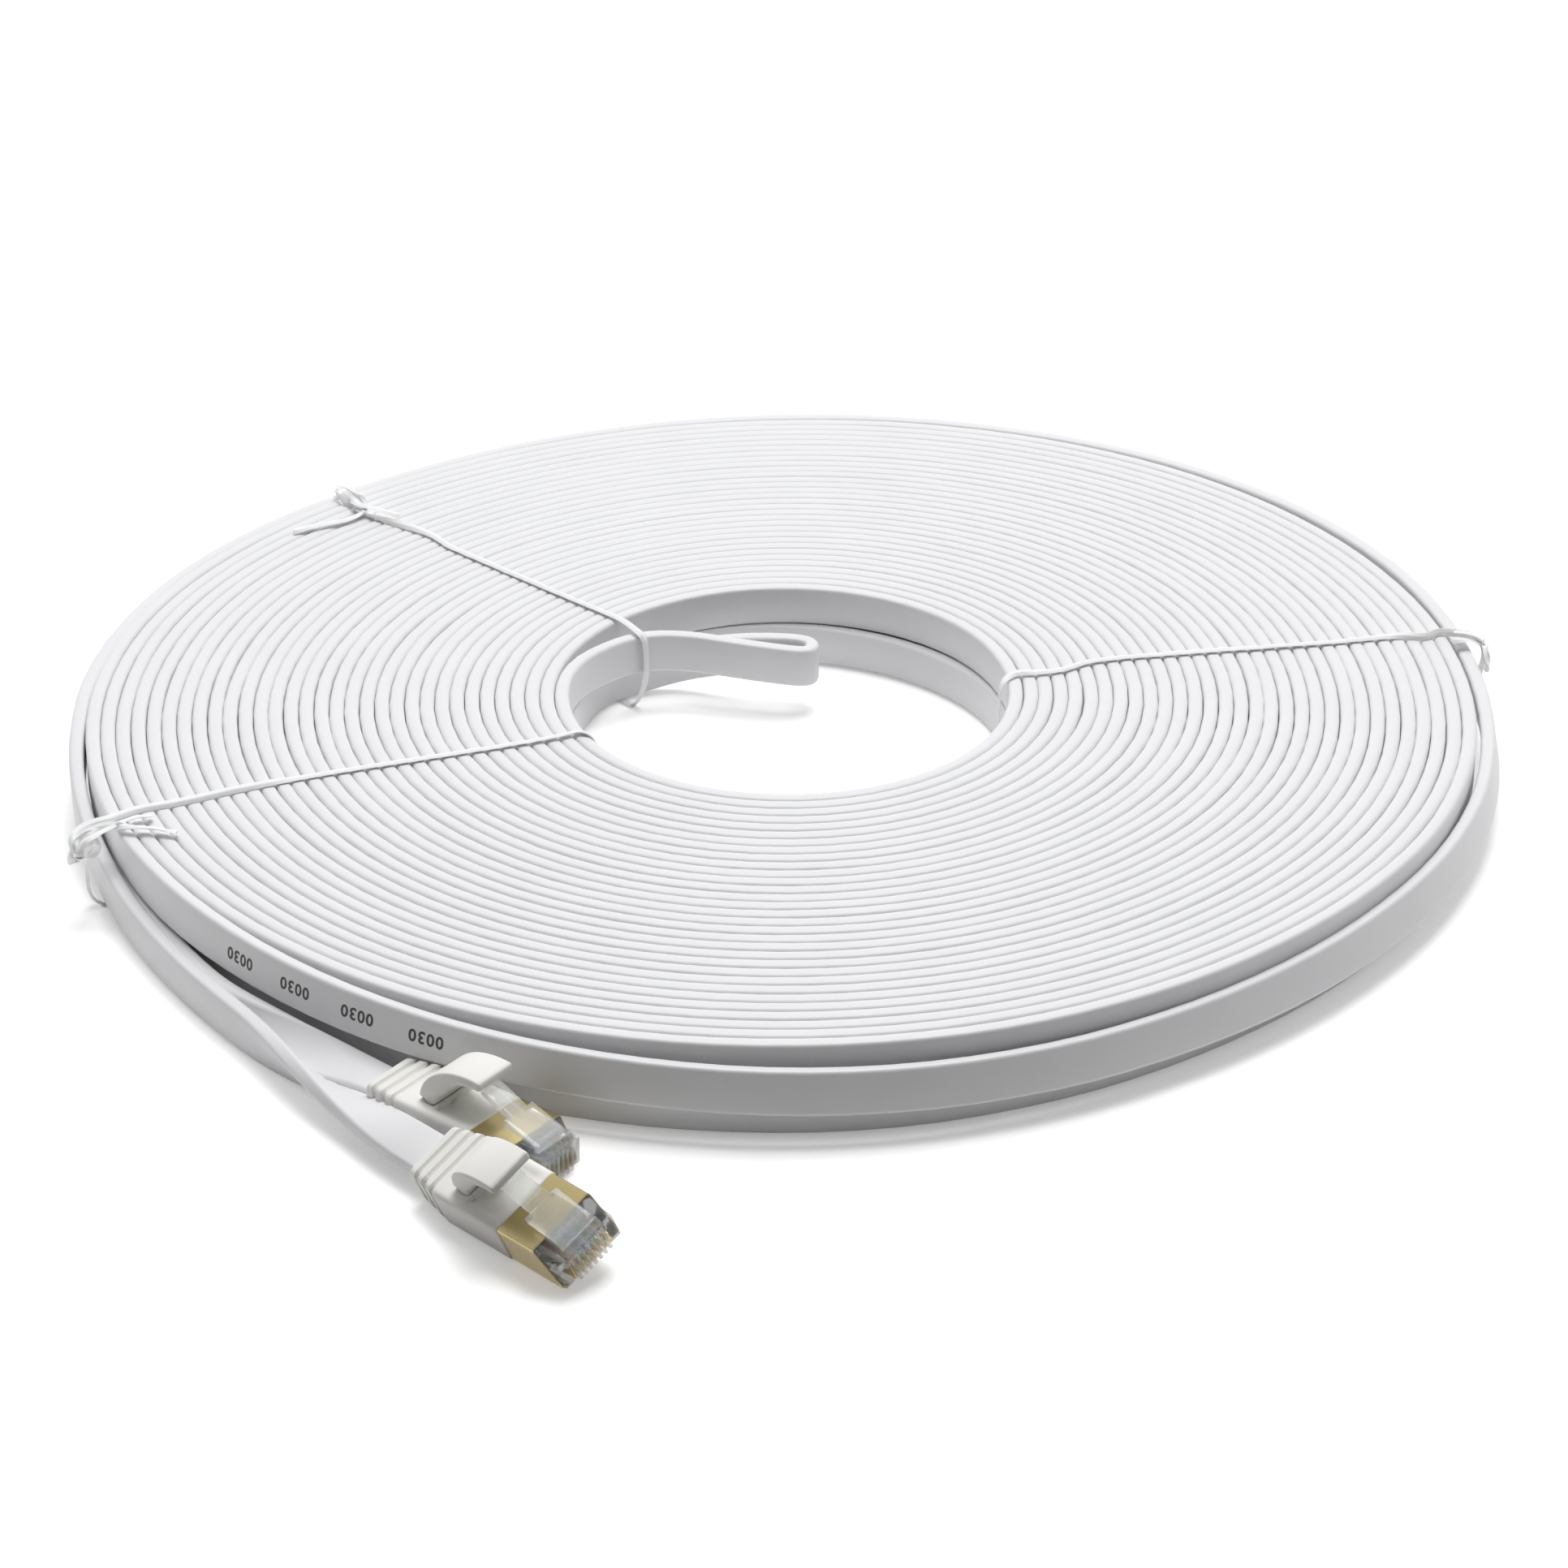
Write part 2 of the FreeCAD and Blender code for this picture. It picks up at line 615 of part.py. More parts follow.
def lower_level():
    """Height of the lower layer's centre line: it stands on the ties with its lower edge flat."""
    return size("tie_thickness") + size("tape_width") / 2 - size("layer_flat")


def upper_level():
    """Height of the upper layer's centre line, one cable width higher."""
    return lower_level() + size("tape_width")


def winding_arcs(outer, inner_angle, level):
    """Half-turn arcs of the spiral, each tangent to the next, with a short straight at both ends."""
    sweep = OUTER_ANGLE + 360 * size("whole_turns") - inner_angle
    count = round(sweep / 180)
    step = sweep / count
    growth = (size(outer) - size("inner_radius")) / count
    offset = growth / (2 * math.sin(math.radians(step / 2)))
    edges = []
    for k in range(count):
        angle = inner_angle + k * step
        centre = off_axis(angle + step / 2 + 90, offset, level)
        radius = size("inner_radius") + growth * (k + 0.5)
        ends = [centre + ray(angle + step * share) * radius for share in (0, 0.5, 1)]
        edges.append(Part.Arc(*ends).toShape())
    straight = size("end_straight")
    first = centre_point(edges[0], 0)
    last = centre_point(edges[-1], 1)
    start_way = ray(inner_angle + 90)
    end_way = ray(inner_angle + sweep + 90)
    edges.insert(0, Part.LineSegment(first - start_way * straight, first).toShape())
    edges.append(Part.LineSegment(last, last + end_way * straight).toShape())
    return edges, (first - start_way * straight, start_way), (last + end_way * straight, end_way)


def centre_point(edge, share):
    """Point of an edge at a share of its parameter range."""
    return edge.valueAt(edge.FirstParameter + (edge.LastParameter - edge.FirstParameter) * share)


def self_gap(edges):
    """Least clear distance between one turn and the next, measured on points of the centre line."""
    points = [centre_point(edge, k / POINTS_PER_ARC) for edge in edges[1:-1] for k in range(POINTS_PER_ARC)]
    near = int(POINTS_PER_ARC * (2 - TURN_WINDOW))
    far = int(POINTS_PER_ARC * (2 + TURN_WINDOW))
    nearest = min(a.distanceToPoint(b) for i, a in enumerate(points) for b in points[i + near:i + far])
    return nearest - size("tape_thickness")


def make_winding(label, outer, inner_angle, level, flat):
    """One layer of the winding: a single unbroken spiral of upright cable."""
    edges, start, end = winding_arcs(outer, inner_angle, level)
    corners = tape_corners(flat)
    profile = section_wire(start[0], start[1], UPRIGHT, corners)
    path = Part.Wire(edges)
    feature = doc.addObject("Part::Feature", label)
    feature.Shape = path.makePipeShell([profile], True, False)
    keep(label, feature)
    print("%s: length %.0f, gap between turns %.2f, volume %.0f for section x length %.0f" % (
        label, path.Length, self_gap(edges), feature.Shape.Volume, section_area(corners) * path.Length))
    return start, end


def rounded_route(points):
    """Straight runs joined by tangent arcs, as large as the shorter run at each point allows."""
    edges = []
    radii = []
    here = points[0]
    for before, corner, after in zip(points, points[1:], points[2:]):
        way_in = (corner - before).normalize()
        way_out = (after - corner).normalize()
        turn = way_in.getAngle(way_out)
        reach = CORNER_SHARE * min((corner - before).Length, (after - corner).Length)
        radius = reach / math.tan(turn / 2)
        centre = corner + (way_out - way_in).normalize() * (radius / math.cos(turn / 2))
        middle = centre + (corner - centre).normalize() * radius
        edges.append(Part.LineSegment(here, corner - way_in * reach).toShape())
        edges.append(Part.Arc(corner - way_in * reach, middle, corner + way_out * reach).toShape())
        here = corner + way_out * reach
        radii.append(radius)
    edges.append(Part.LineSegment(here, points[-1]).toShape())
    return edges, radii


def eased(share):
    """Smooth step from 0 to 1."""
    share = min(max(share, 0.0), 1.0)
    return share * share * (3 - 2 * share)


def make_stretch(label, points, twist, last_lean, flat=0.0):
    """Free stretch of cable along a route, turning from upright to its last lean."""
    edges, radii = rounded_route(points)
    whole = sum(edge.Length for edge in edges)
    corners = tape_corners(flat)
    sections = []
    done = 0.0
    for edge in edges:
        pieces = ARC_PIECES if edge.Curve.TypeId == "Part::GeomCircle" else 1
        for k in range(0 if not sections else 1, pieces + 1):
            share = k / pieces
            where = edge.FirstParameter + (edge.LastParameter - edge.FirstParameter) * share
            along = (done + edge.Length * share) / whole
            turned = eased((along - twist[0]) / (twist[1] - twist[0]))
            lean = UPRIGHT + (last_lean - UPRIGHT) * turned
            sections.append(section_wire(edge.valueAt(where), edge.tangentAt(where), lean, corners))
        done += edge.Length
    feature = doc.addObject("Part::Feature", label)
    feature.Shape = Part.makeLoft(sections, True, True)
    keep(label, feature)
    print("%s: length %.1f, radii %s, volume %.0f for section x length %.0f" % (
        label, whole, " ".join("%.1f" % radius for radius in radii), feature.Shape.Volume,
        section_area(corners) * whole))
    return whole


def make_lead(label, winding_end, route, place, twist, last_lean):
    """Free end: from the winding's outer end along its route into the boot, up to the jacket's end."""
    point, way = winding_end
    middle = size("plug_height") / 2
    into_boot = [place.multVec(FreeCAD.Vector(-size("boot_length") - PLUG_LEAD, 0, middle)),
                 place.multVec(FreeCAD.Vector(-size("jacket_end"), 0, middle))]
    middle_points = [off_axis(direction, outermost() + beyond, level) for direction, beyond, level in route]
    points = [point, point + way * ROUTE_LEAD] + middle_points + into_boot
    return make_stretch(label, points, twist, last_lean)


def make_fold(label, upper_start, lower_start):
    """Hairpin between the inner ends of the two layers, its lower edge flat like the lower layer's."""
    point, way = upper_start
    end, end_way = lower_start
    middle_points = [off_axis(direction, size("inner_radius") + beyond, level)
                     for direction, beyond, level in FOLD_ROUTE]
    points = [point, point - way * FOLD_LEAD] + middle_points + [end]
    return make_stretch(label, points, (0.0, 1.0), UPRIGHT, size("layer_flat"))


def turn_share(angle):
    """Share of the upper layer's growth that is reached at an angle counted on from its inner end."""
    return (angle - UPPER_INNER_ANGLE) / (OUTER_ANGLE + 360 * size("whole_turns") - UPPER_INNER_ANGLE)


def make_tie(side):
    """Twist tie: a flat band round both layers, a knot outside them and a short tail."""
    label = side + "_tie"
    inner_angle, outer_angle = TIES[side]
    outer_turns = size("whole_turns") - (1 if outer_angle > OUTER_ANGLE else 0)
    inner_share = turn_share(max(inner_angle, UPPER_INNER_ANGLE))
    outer_share = turn_share(outer_angle + 360 * outer_turns)
    layer = "inner_radius + (%s - inner_radius) * %.6f"
    skin = "(tape_thickness / 2 + tie_clearance)"
    fold = " - fold_reach" if side == "back" else ""
    wider = "max(upper_outer_radius; lower_outer_radius)"
    near = "(%s - %s%s)" % (layer % ("upper_outer_radius", inner_share), skin, fold)
    far = "(%s + %s)" % (layer % (wider, outer_share), skin)
    apart = math.cos(math.radians(outer_angle - inner_angle))
    span = "sqrt(%s ^ 2 + %s ^ 2 - 2 * %s * %s * %.6f)" % (near, far, near, far, apart)
    outside = "%s + tie_thickness" % span
    knot_middle = outside + " + knot_length / 2"
    knot_top = "knot_level + knot_height"
    stack = "(2 * tape_width - layer_flat)"
    top = "(2 * tie_thickness + %s)" % stack
    body = new_body(label)
    slab(body, label + "_band", (
        ("-tie_thickness + tie_corner", "0"), (outside + " - tie_corner", "0"), (outside, "tie_corner"),
        (outside, top + " - tie_corner"), (outside + " - tie_corner", top),
        ("-tie_thickness + tie_corner", top), ("-tie_thickness", top + " - tie_corner"),
        ("-tie_thickness", "tie_corner")), "tie_width")
    slot(body, label + "_inside", (
        ("0", "tie_thickness"), (span, "tie_thickness"), (span, "tie_thickness + " + stack),
        ("0", "tie_thickness + " + stack)), "3 * tie_width")
    slab(body, label + "_knot", (
        (span + " + tie_thickness / 2", "knot_level"), (outside + " + knot_length", "knot_level"),
        (outside + " + knot_length", knot_top), (span + " + tie_thickness / 2", knot_top)), "knot_width")
    slab(body, label + "_tail", (
        (knot_middle, knot_top + " - tie_thickness"),
        (knot_middle + " + tie_thickness", knot_top + " - tie_thickness"),
        (knot_middle + " + tie_thickness - tail_length / 2", knot_top + " + tail_length"),
        (knot_middle + " - tail_length / 2", knot_top + " + tail_length")), "tie_width")
    first = size("inner_radius")
    skin_depth = size("tape_thickness") / 2 + size("tie_clearance")
    near_radius = first + (size("upper_outer_radius") - first) * inner_share - skin_depth
    if fold:
        near_radius -= size("fold_reach")
    near_end = off_axis(inner_angle, near_radius, 0)
    far_end = off_axis(outer_angle, first + (outermost() - first) * outer_share + skin_depth, 0)
    way = far_end - near_end
    heading = math.degrees(math.atan2(way.y, way.x))
    body.Placement = FreeCAD.Placement(near_end, FreeCAD.Rotation(heading, 0, 0))
    print("%s tie underside at %s" % (side, body.Placement.multVec(FreeCAD.Vector(way.Length / 2, 0, 0))))
    return body


front_place = make_plug("front")
rear_place = make_plug("rear")
upper_start, upper_end = make_winding("upper_winding", "upper_outer_radius", UPPER_INNER_ANGLE,
                                      upper_level(), 0.0)
lower_start, lower_end = make_winding("lower_winding", "lower_outer_radius", LOWER_INNER_ANGLE,
                                      lower_level(), size("layer_flat"))
total = make_fold("centre_fold", upper_start, lower_start)
total += make_lead("front_lead", upper_end, FRONT_ROUTE, front_place, FRONT_TWIST, PLUGS["front"][4])
total += make_lead("rear_lead", lower_end, REAR_ROUTE, rear_place, REAR_TWIST, PLUGS["rear"][4])
print("free stretches together %.0f" % total)
for tie_side in TIES:
    make_tie(tie_side)
doc.recompute()

for item in doc.Objects:
    if "Invalid" in item.State or "Error" in item.State:
        raise RuntimeError("%s is %s" % (item.Label, item.State))
for piece in parts:
    if piece.Shape.isNull() or not piece.Shape.isValid() or piece.Shape.Volume <= 0:
        raise RuntimeError("%s has no sound shape" % piece.Label)
os.makedirs("parts", exist_ok=True)
whole_box = FreeCAD.BoundBox()
for piece in parts:
    piece.Shape.exportStep("parts/%s.step" % piece.Label)
    whole_box.add(piece.Shape.BoundBox)
print("%d sub-parts, box %s" % (len(parts), whole_box))
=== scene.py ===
"""Looks of a flat network cable: wound in two layers, held by three twist ties, with a plug on each end.

Metres, +Z up, the floor at z = 0. The winding's axis is vertical and the camera looks along +Y.
"""
import functools
import json
import logging
import math
from dataclasses import dataclass
from enum import Enum

import bmesh
import bpy
import numpy as np
from mathutils import Matrix, Vector, noise


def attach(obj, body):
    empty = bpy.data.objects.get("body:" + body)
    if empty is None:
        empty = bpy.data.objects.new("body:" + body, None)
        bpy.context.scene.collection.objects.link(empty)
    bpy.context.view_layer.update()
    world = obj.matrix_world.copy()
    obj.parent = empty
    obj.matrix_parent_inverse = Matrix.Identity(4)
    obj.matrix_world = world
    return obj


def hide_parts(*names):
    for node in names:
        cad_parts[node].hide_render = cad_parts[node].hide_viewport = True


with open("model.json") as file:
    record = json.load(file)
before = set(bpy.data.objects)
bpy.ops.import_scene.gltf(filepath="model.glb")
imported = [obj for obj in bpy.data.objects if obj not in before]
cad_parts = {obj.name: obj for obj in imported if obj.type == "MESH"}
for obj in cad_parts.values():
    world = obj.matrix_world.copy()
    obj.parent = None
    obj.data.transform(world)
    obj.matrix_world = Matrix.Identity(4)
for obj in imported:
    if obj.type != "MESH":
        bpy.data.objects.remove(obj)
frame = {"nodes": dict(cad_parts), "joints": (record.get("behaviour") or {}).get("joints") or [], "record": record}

LOG = logging.getLogger("patch_cable")
MM = 0.001
UP = Vector((0, 0, 1))

# Wires, blades and slots of a plug, the distance between them and the place of the first, in millimetres
WAYS = 8
PITCH = 1.02
FIRST_WAY = -(WAYS - 1) / 2 * PITCH

# Corners nearer than this are one corner
WELD = 1e-7

# The winding's axis, as in the source of the solids
AXIS = Vector((-0.4 * MM, 19.5 * MM, 0))

# Radii of the winding that the free ends and the fold are measured from, as in the solids' source
OUTERMOST_RADIUS = 117.5 * MM
INNER_RADIUS = 36.5 * MM


def linear(code: str) -> tuple[float, float, float, float]:
    """Turn an sRGB hex colour into linear RGBA.

    Args:
        code: Six hex digits, with or without a leading hash.

    Returns:
        The linear colour with an alpha of 1.
    """
    digits = code.lstrip("#")
    channels = [int(digits[k:k + 2], 16) / 255 for k in (0, 2, 4)]
    values = [c / 12.92 if c <= 0.04045 else ((c + 0.055) / 1.055) ** 2.4 for c in channels]
    return values[0], values[1], values[2], 1.0


def add_node(tree: bpy.types.NodeTree, kind: str, inputs: dict | None = None, **settings) -> bpy.types.Node:
    """Add a node, set its properties and fill or link its inputs.

    Args:
        tree: Tree that gets the node.
        kind: The node's type name.
        inputs: Socket name or number to a value, or to an output socket that is linked to it.
        settings: Properties of the node.

    Returns:
        The new node.
    """
    node = tree.nodes.new(kind)
    for name, value in settings.items():
        setattr(node, name, value)
    for name, value in (inputs or {}).items():
        if isinstance(value, bpy.types.NodeSocket):
            tree.links.new(value, node.inputs[name])
        else:
            node.inputs[name].default_value = value
    return node


def maths(tree: bpy.types.NodeTree, operation: str, *values: object, **settings) -> bpy.types.NodeSocket:
    """Add a math node with its values in order, and give its output."""
    return add_node(tree, "ShaderNodeMath", dict(enumerate(values)), operation=operation, **settings).outputs[0]


def bare_tree(owner: bpy.types.Material | bpy.types.World) -> bpy.types.NodeTree:
    """Give a material or a world an empty node tree."""
    owner.use_nodes = True
    owner.node_tree.nodes.clear()
    return owner.node_tree


def in_scene(name: str, data: bpy.types.ID) -> bpy.types.Object:
    """Make an object that shows some data and put it in the scene."""
    thing = bpy.data.objects.new(name, data)
    bpy.context.scene.collection.objects.link(thing)
    return thing


def made_mesh(thing: bpy.types.Object) -> bpy.types.Mesh:
    """The plain mesh that an object's curve, text or modifiers make."""
    bpy.context.view_layer.update()
    return bpy.data.meshes.new_from_object(thing.evaluated_get(bpy.context.evaluated_depsgraph_get()))


def off_axis(direction: float, radius: float, height: float) -> Vector:
    """Point at a direction in degrees and a distance from the winding's axis."""
    angle = math.radians(direction)
    return AXIS + Vector((radius * math.cos(angle), radius * math.sin(angle), height))


def eased(share: float) -> float:
    """Smooth step from 0 to 1."""
    share = min(max(share, 0.0), 1.0)
    return share * share * (3 - 2 * share)


def read_table(table: tuple, place: float) -> float:
    """Smoothly read a short list of (place, value), zero outside it."""
    for (before, low), (after, high) in zip(table, table[1:]):
        if before <= place <= after:
            return low + (high - low) * eased((place - before) / (after - before))
    return 0.0


def new_object(name: str, vertices: list, faces: list, material: bpy.types.Material | None = None,
               edges: list | None = None) -> bpy.types.Object:
    """Make a smooth-shaded mesh object at the origin.

    Args:
        name: The piece's name.
        vertices: Corner positions in metres.
        faces: Lists of corner numbers.
        material: Its finish, if it has one yet.
        edges: Pairs of corner numbers, for a line without faces.

    Returns:
        The linked object.
    """
    mesh = bpy.data.meshes.new(name)
    mesh.from_pydata(vertices, edges or [], faces)
    if material:
        mesh.materials.append(material)
    mesh.polygons.foreach_set("use_smooth", [True] * len(mesh.polygons))
    mesh.update()
    return in_scene(name, mesh)


def as_plain_mesh(piece: bpy.types.Object) -> None:
    """Replace a piece's mesh by what its modifiers make of it, and remove them."""
    made = made_mesh(piece)
    piece.modifiers.clear()
    old = piece.data
    piece.data = made
    bpy.data.meshes.remove(old)


def face_outwards(piece: bpy.types.Object) -> None:
    """Turn every face of a closed mesh outwards."""
    work = bmesh.new()
    work.from_mesh(piece.data)
    bmesh.ops.remove_doubles(work, verts=work.verts, dist=WELD)
    bmesh.ops.recalc_face_normals(work, faces=work.faces)
    work.to_mesh(piece.data)
    work.free()


def round_edges(piece: bpy.types.Object, width: float, segments: int = 3, sharpest: float = 45.0) -> None:
    """Round the edges that turn by more than an angle.

    Args:
        piece: A closed mesh.
        width: Width of the rounding in millimetres.
        segments: Steps across it.
        sharpest: Angle in degrees from which an edge is rounded.
    """
    bevel = piece.modifiers.new("rounded_edges", "BEVEL")
    bevel.width = width * MM
    bevel.segments = segments
    bevel.limit_method = "ANGLE"
    bevel.angle_limit = math.radians(sharpest)
    bevel.use_clamp_overlap = False
    bevel.harden_normals = True
    as_plain_mesh(piece)


def combine(piece: bpy.types.Object, other: bpy.types.Object, operation: str) -> None:
    """Cut another closed mesh out of a piece, or join it on, and remove the other."""
    step = piece.modifiers.new("combined", "BOOLEAN")
    step.operation = operation
    step.object = other
    step.solver = "EXACT"
    as_plain_mesh(piece)
    bpy.data.meshes.remove(other.data)


def smooth_line(points: list, steps: int) -> np.ndarray:
    """Points of the smooth spline that has the given control points.

    Args:
        points: Control points.
        steps: Points read from each span.

    Returns:
        Rows of x, y and z.
    """
    data = bpy.data.curves.new("line", "CURVE")
    data.dimensions = "3D"
    data.resolution_u = steps
    spline = data.splines.new("NURBS")
    spline.points.add(len(points) - 1)
    for slot, point in zip(spline.points, points):
        slot.co = (*point, 1.0)
    spline.order_u = 3
    spline.use_endpoint_u = True
    spline.resolution_u = steps
    line = in_scene("line", data)
    mesh = made_mesh(line)
    places = np.array([vertex.co for vertex in mesh.vertices])
    bpy.data.meshes.remove(mesh)
    bpy.data.objects.remove(line)
    bpy.data.curves.remove(data)
    return places


def ring_faces(rings: int, sides: int, looped: bool = False) -> list[tuple[int, ...]]:
    """Faces between neighbouring rings of corners.

    Args:
        rings: How many rings there are.
        sides: Corners of each ring.
        looped: Whether the last ring joins the first.

    Returns:
        Corner numbers of each face.
    """
    faces = []
    for ring in range(rings if looped else rings - 1):
        here, there = ring * sides, (ring + 1) % rings * sides
        faces += [(here + k, here + (k + 1) % sides, there + (k + 1) % sides, there + k) for k in range(sides)]
    return faces


def new_tree(name: str, sockets: dict[str, tuple[str, object]]) -> tuple[bpy.types.NodeTree, bpy.types.Node]:
    """Start a Geometry Nodes tree with a geometry input and output and named inputs.

    Args:
        name: The tree's name.
        sockets: Name of each further input to its socket type and default.

    Returns:
        The tree and its input node.
    """
    tree = bpy.data.node_groups.new(name, "GeometryNodeTree")
    tree.interface.new_socket("Geometry", in_out="INPUT", socket_type="NodeSocketGeometry")
    tree.interface.new_socket("Geometry", in_out="OUTPUT", socket_type="NodeSocketGeometry")
    for label, (kind, default) in sockets.items():
        socket = tree.interface.new_socket(label, in_out="INPUT", socket_type=kind)
        if default is not None:
            socket.default_value = default
    return tree, add_node(tree, "NodeGroupInput")


def run_tree(piece: bpy.types.Object, tree: bpy.types.NodeTree, values: dict[str, object]) -> None:
    """Put a piece through a tree with the named inputs set, and keep the plain mesh that comes out."""
    step = piece.modifiers.new(tree.name, "NODES")
    step.node_group = tree
    for item in tree.interface.items_tree:
        if item.item_type == "SOCKET" and item.in_out == "INPUT" and item.name in values:
            step[item.identifier] = values[item.name]
    as_plain_mesh(piece)


def close_tree(tree: bpy.types.NodeTree, given: bpy.types.Node, shape: bpy.types.NodeSocket) -> None:
    """End a tree: copies made real, the finish of its Finish input, and the output.

    Args:
        tree: The tree.
        given: Its input node.
        shape: Output socket of the shape so far.
    """
    real = add_node(tree, "GeometryNodeRealizeInstances", {0: shape})
    dressed = add_node(tree, "GeometryNodeSetMaterial", {"Geometry": real.outputs[0],
                                                         "Material": given.outputs["Finish"]})
    add_node(tree, "NodeGroupOutput", {0: dressed.outputs[0]})


@functools.cache
def row_tree() -> bpy.types.NodeTree:
    """Tree that sets copies of a shape side by side and numbers them.

    Returns:
        The tree; its inputs are Count, Step and Finish.
    """
    tree, given = new_tree("shapes_in_a_row", {
        "Count": ("NodeSocketInt", WAYS), "Step": ("NodeSocketVector", None), "Finish": ("NodeSocketMaterial", None)})
    line = add_node(tree, "GeometryNodeMeshLine", {"Count": given.outputs["Count"], "Offset": given.outputs["Step"]})
    copies = add_node(tree, "GeometryNodeInstanceOnPoints", {"Points": line.outputs[0],
                                                             "Instance": given.outputs["Geometry"]})
    number = add_node(tree, "GeometryNodeInputIndex")
    marked = add_node(tree, "GeometryNodeStoreNamedAttribute", {
        "Geometry": copies.outputs[0], "Name": "place_in_row", "Value": number.outputs[0]},
        data_type="FLOAT", domain="INSTANCE")
    close_tree(tree, given, marked.outputs[0])
    return tree


@dataclass(frozen=True)
class Finish:
    """A moulded or drawn surface: colour, gloss and a fine uneven skin.

    Each pattern reads Object coordinates in metres, so its scale is one over its real size. Light that enters the
    surface spreads over glow_reach, by the glow_shares of its red, green and blue.
    """

    name: str
    colour: str
    shade: str
    roughness: float = 0.4
    metallic: float = 0.0
    ior: float = 1.5
    transmission: float = 0.0
    grain: float = 0.4 * MM
    relief: float = 0.01 * MM
    relief_strength: float = 0.5
    gloss_play: float = 0.1
    blotch: float = 12 * MM
    specks: float = 0.0
    speck_spacing: float = 9 * MM
    speck_colour: str = "#8F8B86"
    subsurface: float = 0.0
    glow_shares: tuple = (1.0, 0.9, 0.8)
    glow_reach: float = 0.8 * MM
    alpha: float = 1.0

    def build(self) -> bpy.types.Material:
        """Make the material.

        Returns:
            The material, its pattern in Object coordinates.
        """
        material = bpy.data.materials.new(self.name)
        tree = bare_tree(material)
        place = add_node(tree, "ShaderNodeTexCoord").outputs["Object"]
        blotch = add_node(tree, "ShaderNodeTexNoise", {"Vector": place, "Scale": 1 / self.blotch, "Detail": 3.0})
        mixed = add_node(tree, "ShaderNodeMix", {"Factor": blotch.outputs["Fac"], 6: linear(self.colour),
                                                 7: linear(self.shade)}, data_type="RGBA")
        colour = mixed.outputs[2]
        if self.specks:
            dots = add_node(tree, "ShaderNodeTexVoronoi", {"Vector": place, "Scale": 1 / self.speck_spacing})
            near = maths(tree, "LESS_THAN", dots.outputs["Distance"], self.specks)
            dotted = add_node(tree, "ShaderNodeMix", {"Factor": near, 6: colour, 7: linear(self.speck_colour)},
                              data_type="RGBA")
            colour = dotted.outputs[2]
        grain = add_node(tree, "ShaderNodeTexNoise", {"Vector": place, "Scale": 1 / self.grain, "Detail": 2.0})
        bump = add_node(tree, "ShaderNodeBump", {"Height": grain.outputs["Fac"], "Strength": self.relief_strength,
                                                 "Distance": self.relief})
        gloss = add_node(tree, "ShaderNodeMapRange", {"Value": blotch.outputs["Fac"],
                                                      "To Min": self.roughness * (1 - self.gloss_play),
                                                      "To Max": self.roughness * (1 + self.gloss_play)})
        shader = add_node(tree, "ShaderNodeBsdfPrincipled", {
            "Base Color": colour, "Roughness": gloss.outputs[0], "Normal": bump.outputs[0],
            "Metallic": self.metallic, "IOR": self.ior, "Transmission Weight": self.transmission,
            "Subsurface Weight": self.subsurface, "Alpha": self.alpha})
        if self.subsurface:
            shader.inputs["Subsurface Radius"].default_value = self.glow_shares
            shader.inputs["Subsurface Scale"].default_value = self.glow_reach
        add_node(tree, "ShaderNodeOutputMaterial", {"Surface": shader.outputs[0]})
        return material


@functools.cache
def material_of(finish: Finish) -> bpy.types.Material:
    """The one material of a finish."""
    return finish.build()


@dataclass(frozen=True)
class WireFinish:
    """Insulation in the eight usual colours of a network cable, one for each place in the row."""

    name: str
    colours: tuple
    roughness: float = 0.42
    grain: float = 0.6 * MM
    relief: float = 0.01 * MM
    relief_strength: float = 0.4

    def build(self) -> bpy.types.Material:
        """Make the material, which reads each wire's place in the row from the mesh."""
        material = bpy.data.materials.new(self.name)
        tree = bare_tree(material)
        place = add_node(tree, "ShaderNodeAttribute", attribute_name="place_in_row")
        share = maths(tree, "MULTIPLY", place.outputs["Fac"], 1 / len(self.colours))
        ramp = add_node(tree, "ShaderNodeValToRGB", {0: share})
        ramp.color_ramp.interpolation = "CONSTANT"
        stops = ramp.color_ramp.elements
        while len(stops) < len(self.colours):
            stops.new(1.0)
        for number, colour in enumerate(self.colours):
            stops[number].position = max(0.0, (number - 0.5) / len(self.colours))
            stops[number].color = linear(colour)
        skin = add_node(tree, "ShaderNodeTexNoise", {"Vector": add_node(tree, "ShaderNodeTexCoord").outputs["Object"],
                                                     "Scale": 1 / self.grain})
        bump = add_node(tree, "ShaderNodeBump", {"Height": skin.outputs["Fac"], "Strength": self.relief_strength,
                                                 "Distance": self.relief})
        shader = add_node(tree, "ShaderNodeBsdfPrincipled", {
            "Base Color": ramp.outputs[0], "Roughness": self.roughness, "Normal": bump.outputs[0]})
        add_node(tree, "ShaderNodeOutputMaterial", {"Surface": shader.outputs[0]})
        return material


# Extruded PVC jacket: cool white and satin, with a faint uneven haze
JACKET = Finish("extruded_pvc_jacket", "#ECECED", "#E6E6E8", roughness=0.42, grain=0.8 * MM, relief=0.015 * MM)
# Printing ink on the jacket: thin, dark grey, a little worn
INK = Finish("printing_ink", "#3E3B38", "#4E4A46", roughness=0.6, grain=0.2 * MM, blotch=0.8 * MM)
# Moulded soft PVC: warm white with a fine spark-eroded grain and a few trapped specks
BOOT = Finish("moulded_soft_pvc", "#F1F0EC", "#EAE9E4", roughness=0.5, grain=0.25 * MM, specks=0.02)
# Gold flash over rolled sheet: warm yellow metal with a faint rolling haze
SHIELD = Finish("gold_plated_sheet", "#C0B285", "#B09F72", roughness=0.28, metallic=1.0, grain=0.3 * MM,
                relief=0.004 * MM)
